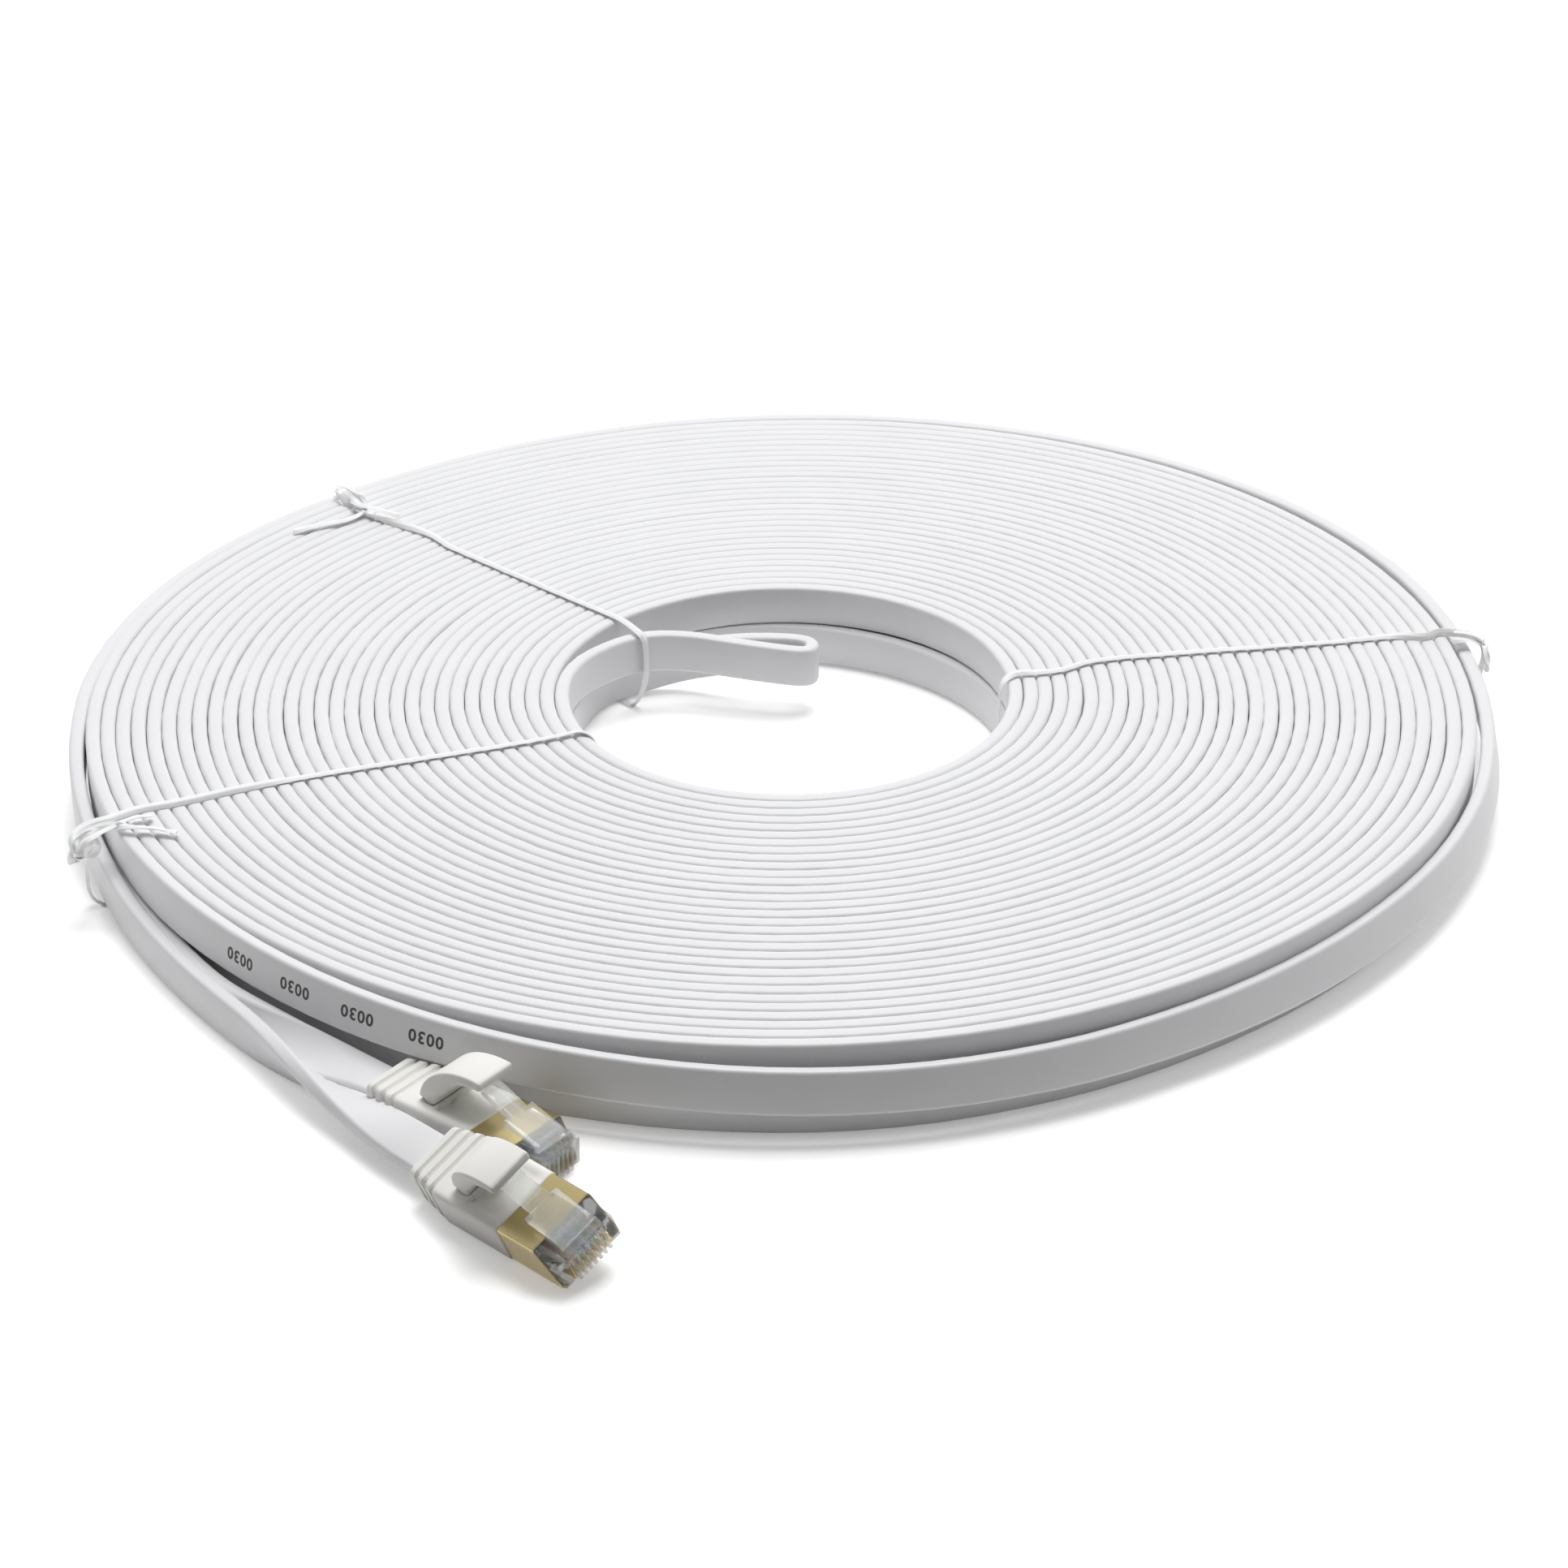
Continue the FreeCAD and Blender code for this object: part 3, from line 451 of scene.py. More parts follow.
# Injection moulded polycarbonate: clear, glossy, slightly milky where it is thick
CLEAR = Finish("clear_polycarbonate", "#F7F9F9", "#EEF1F1", roughness=0.06, ior=1.585, transmission=0.7,
               grain=2 * MM, relief=0.01 * MM, alpha=0.5)
# Gold plated phosphor bronze blades, stamped and bright
BLADE = Finish("gold_plated_bronze", "#C2AD74", "#AD9760", roughness=0.25, metallic=1.0)
# Solid polyethylene over copper cores: four pale and four full colours, in pairs
WIRE = WireFinish("polyethylene_insulation", ("#E6D3BF", "#D39A66", "#C9D9C4", "#7C9CC9", "#C3CFE2", "#7FAF86",
                                              "#D6C9BB", "#9C7C62"))
# Natural polyethylene moulding under the boot
INNER = Finish("natural_polyethylene", "#DAD8D2", "#CFCDC6", roughness=0.5)
# Tinned steel strip, rolled and dull
BAND = Finish("tinned_steel", "#B9BABC", "#A9AAAD", roughness=0.32, metallic=1.0)
# Laminated aluminium foil
FOIL = Finish("aluminium_foil", "#CDCFD2", "#BBBDC1", roughness=0.28, metallic=1.0, relief=0.05 * MM)
# Polyethylene skin of the twist ties: white, waxy, a little see-through
TIE = Finish("tie_polyethylene", "#FAFAF9", "#F4F5F5", roughness=0.45, subsurface=0.7, grain=0.5 * MM,
             relief=0.03 * MM)


@dataclass
class Studio:
    """Pale floor, white surroundings and one soft lamp, and the camera of the photograph.

    Sizes and places are in metres, lens and sensor in millimetres, tilt in degrees and power in watts. The floor's
    bounce grows from the last value of floor_front, at its first place along Y, to the whole at its second.
    """

    lens: float = 101.01
    sensor: float = 36.0
    place: tuple = (-0.63 * MM, -635.2 * MM, 351.7 * MM)
    tilt: float = 28.52
    floor_size: float = 8.0
    lamp_place: tuple = (0.05, 0.22, 1.1)
    lamp_size: float = 0.66
    front_grey: float = 0.02
    back_grey: float = 0.8
    tent_fade: float = 0.6
    gloss_share: float = 0.4
    lamp_power: float = 9.4
    floor_lift: float = 0.3
    floor_white: float = 0.98
    floor_bounce: float = 0.95
    floor_front: tuple = (-0.19, -0.09, 0.1)

    def add_camera(self) -> None:
        """Place the camera as in the photograph."""
        data = bpy.data.cameras.new("camera")
        data.sensor_width = self.sensor
        data.lens = self.lens
        camera = in_scene("camera", data)
        camera.location = self.place
        camera.rotation_euler = (math.radians(90 - self.tilt), 0, 0)
        bpy.context.scene.camera = camera

    def add_floor(self) -> None:
        """Lay the floor: diffuse for shadows, lifted to white where the camera or a reflection sees it.

        It throws less light on the object from the front, as a table does that ends there.
        """
        half = self.floor_size / 2
        material = bpy.data.materials.new("painted_white_board")
        tree = bare_tree(material)
        rays = add_node(tree, "ShaderNodeLightPath")
        seen = maths(tree, "MAXIMUM", rays.outputs["Is Camera Ray"], rays.outputs["Is Glossy Ray"])
        seen = maths(tree, "MAXIMUM", seen, rays.outputs["Is Transmission Ray"])
        lift = maths(tree, "MULTIPLY", seen, self.floor_lift)
        middle = add_node(tree, "ShaderNodeTexCoord").outputs["Object"]
        parts = add_node(tree, "ShaderNodeSeparateXYZ", {0: middle})
        front, behind, least = self.floor_front
        bounce = add_node(tree, "ShaderNodeMapRange", {"Value": parts.outputs["Y"], "From Min": front,
                                                       "From Max": behind, "To Min": least,
                                                       "To Max": self.floor_bounce})
        shown = maths(tree, "MULTIPLY", seen, self.floor_white)
        grey = maths(tree, "MAXIMUM", shown, bounce.outputs[0])
        matt = add_node(tree, "ShaderNodeBsdfDiffuse", {"Color": grey})
        glow = add_node(tree, "ShaderNodeEmission", {"Color": (1, 1, 1, 1), "Strength": lift})
        both = add_node(tree, "ShaderNodeAddShader", {0: matt.outputs[0], 1: glow.outputs[0]})
        add_node(tree, "ShaderNodeOutputMaterial", {"Surface": both.outputs[0]})
        floor = new_object("floor", [(-half, -half, 0), (half, -half, 0), (half, half, 0), (-half, half, 0)],
                           [(0, 1, 2, 3)], material)

    def add_world(self) -> None:
        """Surround the object with white that darkens towards the camera's side, as in a light tent."""
        world = bpy.data.worlds.new("surroundings")
        bpy.context.scene.world = world
        tree = bare_tree(world)
        way = add_node(tree, "ShaderNodeTexCoord").outputs["Generated"]
        parts = add_node(tree, "ShaderNodeSeparateXYZ", {0: way})
        fade = add_node(tree, "ShaderNodeMapRange", {"Value": parts.outputs["Y"], "From Min": -self.tent_fade,
                                                     "From Max": self.tent_fade, "To Min": self.front_grey,
                                                     "To Max": self.back_grey})
        around = add_node(tree, "ShaderNodeBackground", {"Color": (0.99, 0.99, 1.0, 1), "Strength": fade.outputs[0]})
        white = add_node(tree, "ShaderNodeBackground", {"Color": (1, 1, 1, 1), "Strength": 1.0})
        rays = add_node(tree, "ShaderNodeLightPath")
        straight = maths(tree, "MAXIMUM", rays.outputs["Is Camera Ray"], rays.outputs["Is Transmission Ray"])
        mirrored = maths(tree, "MULTIPLY", rays.outputs["Is Glossy Ray"], self.gloss_share)
        seen = maths(tree, "MAXIMUM", straight, mirrored)
        shown = add_node(tree, "ShaderNodeMixShader", {0: seen, 1: around.outputs[0], 2: white.outputs[0]})
        add_node(tree, "ShaderNodeOutputWorld", {"Surface": shown.outputs[0]})

    def add_lamp(self) -> None:
        """Hang a square soft lamp over the winding, facing it."""
        data = bpy.data.lights.new("overhead_softbox", "AREA")
        data.shape = "SQUARE"
        data.size = self.lamp_size
        data.energy = self.lamp_power
        lamp = in_scene("overhead_softbox", data)
        lamp.location = self.lamp_place
        lamp.rotation_euler = (Vector(self.lamp_place) - AXIS).to_track_quat("Z", "Y").to_euler()

    def build(self) -> None:
        """Set up the view transform, floor, surroundings, lamp and camera."""
        bpy.context.scene.view_settings.view_transform = "Standard"
        self.add_camera()
        self.add_floor()
        self.add_world()
        self.add_lamp()
        LOG.info("studio: floor, surroundings, overhead lamp and camera")


@dataclass(frozen=True)
class PlugPlace:
    """Where one plug lies: x forward from the boot's front edge, y across and z up from the shield's underside."""

    origin: Vector
    forward: Vector
    across: Vector
    up: Vector

    def at(self, x: float, y: float, z: float) -> Vector:
        """Turn a point of the plug's own frame, in millimetres, into a place in the scene, in metres."""
        return self.origin + (self.forward * x + self.across * y + self.up * z) * MM


class Side(Enum):
    """The two ends of the cable."""

    FRONT = "front"
    REAR = "rear"


# Places in a plug's own frame, in millimetres: pivots of the guard and the latch, the boot's back, the jacket's end
GUARD_PIVOT = (-9.1, 8.05)
LATCH_PIVOT = (10.6, 6.45)
BOOT_BACK = -20.8
JACKET_END = -9.2


def plug_place(side: Side) -> PlugPlace:
    """Work out a plug's place from its two hinges in the frame.

    Args:
        side: Which end of the cable.

    Returns:
        The plug's own frame.
    """
    joints = {joint["name"]: joint for joint in frame["joints"]}
    guard = joints[side.value + "_guard_press"]
    guard_at = Vector(guard["pos_m"])
    latch_at = Vector(joints[side.value + "_latch_press"]["pos_m"])
    across = Vector(guard["axis"]).normalized()
    along, rise = LATCH_PIVOT[0] - GUARD_PIVOT[0], LATCH_PIVOT[1] - GUARD_PIVOT[1]
    gap = latch_at - guard_at
    forward = (gap * along - gap.cross(across) * rise).normalized()
    up = forward.cross(across)
    origin = guard_at - (forward * GUARD_PIVOT[0] + up * GUARD_PIVOT[1]) * MM
    return PlugPlace(origin, forward, across, up)


@dataclass(frozen=True)
class Layer:
    """One layer of the winding: directions are in degrees and count on through its turns.

    Rows of stand_off and drop are a direction and millimetres: out from the spiral, and up from the layer's level.
    """

    level: float
    first: float
    last: float
    stand_off: tuple = ()
    drop: tuple = ()


@dataclass
class Cable:
    """The flat cable, from one boot through both layers of the winding to the other boot.

    Rows of tuck are a direction in degrees and the share of the spiral's growth that is missing there. Rows of slouch
    are millimetres from the front jacket end and degrees of lean. The twists are the shares of each free end, from
    the winding to the plug, between which it turns flat. The build fills track with each section's distance along
    the cable, middle, way through the thickness and way along the width.
    """

    width: float = 7.0 * MM
    thickness: float = 2.4 * MM
    edge: float = 0.65 * MM
    pitch: float = 2.5 * MM
    first_radius: float = 36.75 * MM
    first_direction: float = 90.0
    tuck: tuple = ((30.0, 0.0), (122.0, 0.079), (176.0, 0.0), (228.0, 0.0), (270.0, 0.012), (312.0, 0.028),
                   (346.0, 0.0))
    point_spacing: float = 31 * MM
    fewest_points: int = 12
    steps: int = 5
    plug_lead: float = 7.7
    middle: float = 3.4
    front_lean: float = 23.5
    front_twist: tuple = (0.37, 0.86)
    rear_twist: tuple = (0.345, 0.88)
    front_end: float = 101.6 * MM
    rear_end: float = 77.9 * MM
    slouch: tuple = ((430.0, 0.0), (540.0, 11.0), (655.0, 14.0), (730.0, 12.0), (800.0, 8.0), (850.0, 0.0))
    waver: float = 0.09 * MM
    waver_length: float = 14 * MM
    tilt_waver: float = 1.4
    track: tuple = ()
    upper: Layer = Layer(10.85 * MM, 168.0, 180.0 + 360 * 32, stand_off=(
        (11368, 0.2), (11400, 1.0), (11430, 2.3), (11468, 0.6), (11488, 0.5), (11510, 1.3), (11524, 1.3), (11538, 1.2),
        (11550, 1.3), (11590, 0.3), (11700, -0.6)),
        drop=((11382, 0.0), (11405, -1.0), (11430, -2.3), (11455, -3.0), (11508, -2.9), (11537, 0.0)))
    lower: Layer = Layer(3.85 * MM, 150.0, 208.0 + 360 * 31, stand_off=(
        (340, 0.0), (430, -2.2), (470, 0.0), (10980, 0.0), (11070, 2.1), (11112, -0.2), (11160, 0.0), (11368, 0.0)))
    front_route: tuple = (
        (187.0, 0.3, 10.4), (194.0, 0.8, 8.4), (201.0, 0.6, 5.9), (208.0, 0.8, 4.2), (215.0, 1.5, 3.7),
        (222.0, 2.9, 3.6), (229.0, 5.1, 3.6), (236.0, 8.7, 3.6), (241.5, 12.6, 3.9))
    rear_route: tuple = ((214.0, -0.6, 3.6), (220.0, 0.9, 3.6), (226.0, 2.2, 3.6), (232.0, 3.0, 3.6))
    fold_route: tuple = (
        (143.7, -2.4, 10.6), (130.5, -7.7, 10.5), (112.8, -15.9, 10.1), (94.7, -18.3, 9.5), (75.6, -18.0, 8.9),
        (78.5, -13.3, 8.9), (97.5, -13.4, 9.4), (113.4, -10.0, 8.3), (124.4, -3.8, 5.6), (137.6, 0.3, 3.7))

    def radius(self, layer: Layer, turned: float) -> float:
        """Radius of the cable's centre line at a direction counted on through the turns.

        Args:
            layer: The layer.
            turned: Direction in degrees, counted on.

        Returns:
            The radius in metres: less at the back and the right of the front, more where a turn is loose.
        """
        turns = (turned - self.first_direction) / 360
        spiral = self.first_radius + turns * self.pitch * (1 - read_table(self.tuck, turned % 360))
        return spiral + read_table(layer.stand_off, turned) * MM

    def winding(self, layer: Layer) -> list[Vector]:
        """Control points of one layer, from its inner to its outer end, 12 or more to a turn."""
        points = []
        turned = layer.first
        while turned < layer.last:
            radius = self.radius(layer, turned)
            count = max(self.fewest_points, round(2 * math.pi * radius / self.point_spacing))
            height = layer.level + read_table(layer.drop, turned) * MM
            points.append(off_axis(turned, radius / math.cos(math.pi / count), height))
            turned += 360 / count
        return points

    def route(self, corners: tuple, base: float) -> list[Vector]:
        """Listed points: direction, distance from a base radius and height, in millimetres."""
        return [off_axis(direction, base + beyond * MM, height * MM) for direction, beyond, height in corners]

    def control_points(self) -> list[Vector]:
        """All control points, from the front boot to the rear boot."""
        front = plug_place(Side.FRONT)
        rear = plug_place(Side.REAR)
        upper = self.winding(self.upper)
        lower = self.winding(self.lower)
        points = [front.at(JACKET_END, 0, self.middle), front.at(BOOT_BACK - self.plug_lead, 0, self.middle)]
        points += reversed(self.route(self.front_route, OUTERMOST_RADIUS))
        points += reversed(upper)
        points += self.route(self.fold_route, INNER_RADIUS)
        points += lower
        points += self.route(self.rear_route, OUTERMOST_RADIUS)
        points += [rear.at(BOOT_BACK - self.plug_lead, 0, self.middle), rear.at(JACKET_END, 0, self.middle)]
        return points

    def centre_line(self) -> np.ndarray:
        """Points of the one smooth spline that the cable follows."""
        return smooth_line(self.control_points(), self.steps)

    def outline(self) -> list[tuple[float, float]]:
        """Corners of the rounded cross-section as (across the thickness, along the width), one way round."""
        half_thick, half_wide, edge = self.thickness / 2, self.width / 2, self.edge
        corners = []
        for quarter, (side, end) in enumerate(((1, 1), (-1, 1), (-1, -1), (1, -1))):
            for turn in (0, 30, 60, 90):
                angle = math.radians(quarter * 90 + turn)
                corners.append((side * (half_thick - edge) + edge * math.cos(angle),
                                end * (half_wide - edge) + edge * math.sin(angle)))
        return corners

    def twisted(self, from_plug: float, whole: float, span: tuple) -> float:
        """Share of a free end's twist that is done at a distance from its plug's jacket end."""
        begin, done = span
        return eased((1 - from_plug / whole - begin) / (done - begin))

    def lean(self, from_start: float, from_end: float) -> float:
        """Angle of the cable's width above the floor, in degrees; 90 is upright.

        Args:
            from_start: Distance along the cable from the front jacket end.
            from_end: Distance along the cable from the rear jacket end.

        Returns:
            The lean, counted past 90 at the front end because the line runs away from that plug.
        """
        front = self.twisted(from_start, self.front_end, self.front_twist)
        rear = self.twisted(from_end, self.rear_end, self.rear_twist)
        return 90 - (90 + self.front_lean) * front - 90 * rear + read_table(self.slouch, from_start / MM)

    def build(self) -> bpy.types.Object:
        """Returns:
            The cable.
        """
        line = self.centre_line()
        tangents = np.gradient(line, axis=0)
        tangents /= np.linalg.norm(tangents, axis=1)[:, None]
        steps = np.linalg.norm(np.diff(line, axis=0), axis=1)
        along = np.concatenate(([0.0], np.cumsum(steps)))
        length = float(along[-1])
        outline = self.outline()
        sides = len(outline)
        vertices, middles, outs, ups = [], [], [], []
        for point, tangent, reach in zip(line, tangents, along):
            way = Vector(tangent)
            side = UP.cross(way).normalized()
            above = way.cross(side)
            calm = min(1.0, min(reach, length - reach) / self.front_end)
            drift = noise.noise(Vector((reach / self.waver_length, 0.5, 0.5))) * calm
            tip = noise.noise(Vector((reach / (2 * self.waver_length), 7.5, 0.5))) * calm
            lean = math.radians(self.lean(reach, length - reach) + self.tilt_waver * tip)
            wide = side * math.cos(lean) + above * math.sin(lean)
            thick = wide.cross(way)
            middle = Vector(point) + side * (self.waver * drift)
            vertices += [middle + thick * a + wide * b for a, b in outline]
            middles.append(middle)
            outs.append(thick)
            ups.append(wide)
        self.track = (along, np.array(middles), np.array(outs), np.array(ups))
        rings = len(line)
        faces = ring_faces(rings, sides)
        faces.append(tuple(range(sides)))
        faces.append(tuple(range((rings - 1) * sides, rings * sides))[::-1])
        cable = new_object("cable", vertices, faces, material_of(JACKET))
        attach(cable, "root")
        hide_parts("upper_winding", "lower_winding", "centre_fold", "front_lead", "rear_lead")
        LOG.info("cable: %.2f m, %d rings, %d faces", length, rings, len(faces))
        return cable


@dataclass(frozen=True)
class Ring:
    """Cross-section of a lofted moulding in a plug's own frame, in millimetres: a rectangle with round corners."""

    x: float
    half: float
    low: float
    high: float
    corner: float = 0.85

    def points(self, fills: tuple = (4, 24, 4, 4)) -> list[tuple[float, float, float]]:
        """Corners of the section, one way round, with extra points on its sides.

        Args:
            fills: Points added on the right side, the top, the left side and the bottom.

        Returns:
            Rows of x, y and z.
        """
        reach, rise, corner = self.half - self.corner, self.high - self.corner, self.corner
        base = self.low + self.corner
        arcs = []
        for y, z, start in ((reach, base, -90), (reach, rise, 0), (-reach, rise, 90), (-reach, base, 180)):
            turns = [math.radians(start + 22.5 * step) for step in range(5)]
            arcs.append([(self.x, y + corner * math.cos(turn), z + corner * math.sin(turn)) for turn in turns])
        points = []
        for arc, after, fill in zip(arcs, arcs[1:] + arcs[:1], fills):
            points += arc
            begin, end = np.array(arc[-1]), np.array(after[0])
            points += [tuple(begin + (end - begin) * (k + 1) / (fill + 1)) for k in range(fill)]
        return points


def loft(name: str, place: PlugPlace, sections: list, finish: Finish | WireFinish,
         looped: bool = False) -> bpy.types.Object:
    """Skin a row of sections that have the same number of points.

    Args:
        name: The piece's name.
        place: Frame of the sections.
        sections: Lists of points in millimetres.
        finish: The piece's finish.
        looped: Whether the last section joins the first; otherwise both get an end face.

    Returns:
        The closed piece.
    """
    count, sides = len(sections), len(sections[0])
    vertices = [place.at(*point) for section in sections for point in section]
    faces = ring_faces(count, sides, looped)
    if not looped:
        faces += [tuple(range(sides)), tuple(range((count - 1) * sides, count * sides))]
    piece = new_object(name, vertices, faces, material_of(finish))
    face_outwards(piece)
    return piece


def prism(name: str, place: PlugPlace, outline: list, span: tuple, finish: Finish) -> bpy.types.Object:
    """Make a flat-sided piece from its side view.

    Args:
        name: The piece's name.
        place: Frame of the outline.
        outline: Corners (x, z) in millimetres.
        span: Lowest and highest y in millimetres.
        finish: The piece's finish.

    Returns:
        The closed piece.
    """
    return loft(name, place, [[(x, y, z) for x, z in outline] for y in span], finish)


def bend(start: tuple, pull: tuple, push: tuple, end: tuple, steps: int = 10) -> list[tuple[float, float]]:
    """Points of a Bezier curve in a side view, without its start.

    Args:
        start: Where it starts.
        pull: Its first handle.
        push: Its second handle.
        end: Where it ends.
        steps: Points made.

    Returns:
        Rows of x and z.
    """
    points = []
    for step in range(1, steps + 1):
        t = step / steps
        parts = ((1 - t) ** 3, 3 * t * (1 - t) ** 2, 3 * t * t * (1 - t), t ** 3)
        points.append(tuple(sum(part * spot[axis] for part, spot in zip(parts, (start, pull, push, end)))
                            for axis in (0, 1)))
    return points


def mark_sharp(piece: bpy.types.Object, angle: float = 35.0) -> None:
    """Shade a piece smooth except over edges that turn by more than an angle in degrees."""
    piece.data.set_sharp_from_angle(angle=math.radians(angle))


def hand_over(piece: bpy.types.Object, body: str, node: str) -> bpy.types.Object:
    """Let a piece ride on a body and stand for a solid, and give it back."""
    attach(piece, body)
    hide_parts(node)
    return piece


def set_in_row(shape: bpy.types.Object, side: Side, finish: Finish | WireFinish) -> None:
    """Repeat the first shape for each wire across a plug."""
    run_tree(shape, row_tree(), {"Count": WAYS, "Step": plug_place(side).across * (PITCH * MM),
                                 "Finish": material_of(finish)})


@dataclass
class Boot:
    """Moulded strain relief: three ribs at the back, a scoop, a mound and a saddle for the guard on top."""

    half: float = 6.05
    low: float = -0.15
    high: float = 6.95
    back: float = BOOT_BACK
    taper_start: float = -13.7
    taper_half: float = 1.25
    taper_height: float = 0.45
    station: float = 0.2
    grooves: tuple = (-18.9, -16.8, -14.7)
    groove_width: float = 0.95
    groove_depth: float = 0.6
    groove_under: float = 1.6
    back_round: float = 0.5
    front_round: float = 0.15
    scoop: float = 0.35
    top_zone: float = 1.2
    scoop_half: float = 3.9
    scoop_fade: float = 1.0
    scoop_back: float = -8.0
    scoop_back_run: float = 0.8
    scoop_front: float = -0.3
    scoop_front_run: float = 2.2
    mound_at: float = -5.8
    mound_height: float = 1.25
    mound_long: float = 1.5
    mound_wide: float = 2.3
    saddle_top: float = 7.4
    saddle_half: float = 1.7
    saddle_width: float = 3.75
    saddle_flare: float = 0.25
    saddle_slope: float = 0.3
    saddle_sink: float = 0.05
    pivot_room: float = 1.38
    seats: tuple = ((0.0, 5.5, 0.35, 6.45), (-9.55, 5.5, 0.35, 6.45), (-9.55, 4.65, 0.85, 5.95),
                    (-17.55, 4.65, 0.85, 5.95), (-17.55, 3.6, 2.15, 4.65), (BOOT_BACK, 3.6, 2.15, 4.65))
    seat_corner: float = 0.3

    def skin(self, x: float) -> Ring:
        """Outer section at a place along the boot."""
        taper = max(0.0, (self.taper_start - x) / (self.taper_start - self.back))
        depth = 0.0
        for middle in self.grooves:
            share = abs(x - middle) / (self.groove_width / 2)
            depth = max(depth, self.groove_depth * (1 - share ** 3)) if share < 1 else depth
        from_back, from_front = x - self.back, -x
        edge = 0.0
        if from_back < self.back_round:
            edge = self.back_round - math.sqrt(self.back_round ** 2 - (self.back_round - from_back) ** 2)
        if from_front < self.front_round:
            edge = self.front_round - from_front
        return Ring(x, self.half - self.taper_half * taper - depth - edge,
                    self.low + self.taper_height * taper + depth * self.groove_under + edge,
                    self.high - self.taper_height * taper - depth - edge)

    def top(self, x: float, y: float, z: float) -> float:
        """Height of the top at a point whose plain height is given."""
        if z < self.high - self.top_zone:
            return z
        fade = 1 - eased((abs(y) - self.scoop_half) / self.scoop_fade)
        scoop = self.scoop * eased((self.scoop_front - x) / self.scoop_front_run) * eased(
            (x - self.scoop_back) / self.scoop_back_run)
        away = ((x - self.mound_at) / self.mound_long) ** 2 + (y / self.mound_wide) ** 2
        lift = self.mound_height * eased(1 - away) if away < 1 else 0.0
        top = z - scoop * fade + lift
        if abs(y) < self.saddle_width:
            off = abs(x - GUARD_PIVOT[0])
            reach = self.saddle_half + self.saddle_flare
            if off < reach:
                rise = (self.saddle_top - self.high) * eased((reach - off) / self.saddle_slope)
                top = max(top, self.high - self.saddle_sink + rise)
            if off < self.pivot_room:
                top = min(top, GUARD_PIVOT[1] - math.sqrt(self.pivot_room ** 2 - off ** 2))
        return top

    def build(self, side: Side) -> bpy.types.Object:
        """Loft the outside and the seats inside into one closed shell."""
        place = plug_place(side)
        count = round(-self.back / self.station)
        stations = [self.back + self.station * k for k in range(count)]
        stations += [-self.station / 2, 0.0]
        sections = [[(x, y, self.top(x, y, z)) for x, y, z in self.skin(x).points()] for x in stations]
        sections += [Ring(x, half, low, high, self.seat_corner).points() for x, half, low, high in self.seats]
        boot = loft(side.value + "_boot_moulding", place, sections, BOOT, looped=True)
        mark_sharp(boot, angle=50)
        return hand_over(boot, "root", side.value + "_boot")


@dataclass
class LatchGuard:
    """Curved arm over the latch, which pivots in the boot's saddle."""

    half: float = 3.75
    barrel: float = 1.3
    rounding: float = 0.35
    barrel_turns: range = range(10, -170, -20)
    start: tuple = (-11.2, 7.75)
    arch: tuple = ((-10.9, 10.4), (-8.1, 13.5), (-3.4, 13.95))
    crown: tuple = ((-1.9, 14.1), (-0.6, 14.05), (0.5, 13.85))
    lip: tuple = (0.5, 12.45)
    underside: tuple = ((-2.2, 12.75), (-4.6, 12.3), (-6.3, 9.6))
    heel: tuple = (-10.9, 7.55)

    def outline(self) -> list[tuple[float, float]]:
        """Side view, from the back of the barrel over the top to the front and back under the arm."""
        x, z = GUARD_PIVOT
        points = [self.start]
        points += bend(self.start, *self.arch)
        points += bend(self.arch[-1], *self.crown, 5)
        points += [self.lip]
        points += bend(self.lip, *self.underside)
        for turn in self.barrel_turns:
            angle = math.radians(turn)
            points.append((x + self.barrel * math.cos(angle), z + self.barrel * math.sin(angle)))
        return points + [self.heel]

    def build(self, side: Side) -> bpy.types.Object:
        """Make the arm with its rounded edges."""
        guard = prism(side.value + "_latch_guard_moulding", plug_place(side), self.outline(),
                      (-self.half, self.half), BOOT)
        round_edges(guard, self.rounding, segments=4, sharpest=50)
        mark_sharp(guard, angle=50)
        return hand_over(guard, side.value + "_guard_body", side.value + "_latch_guard")


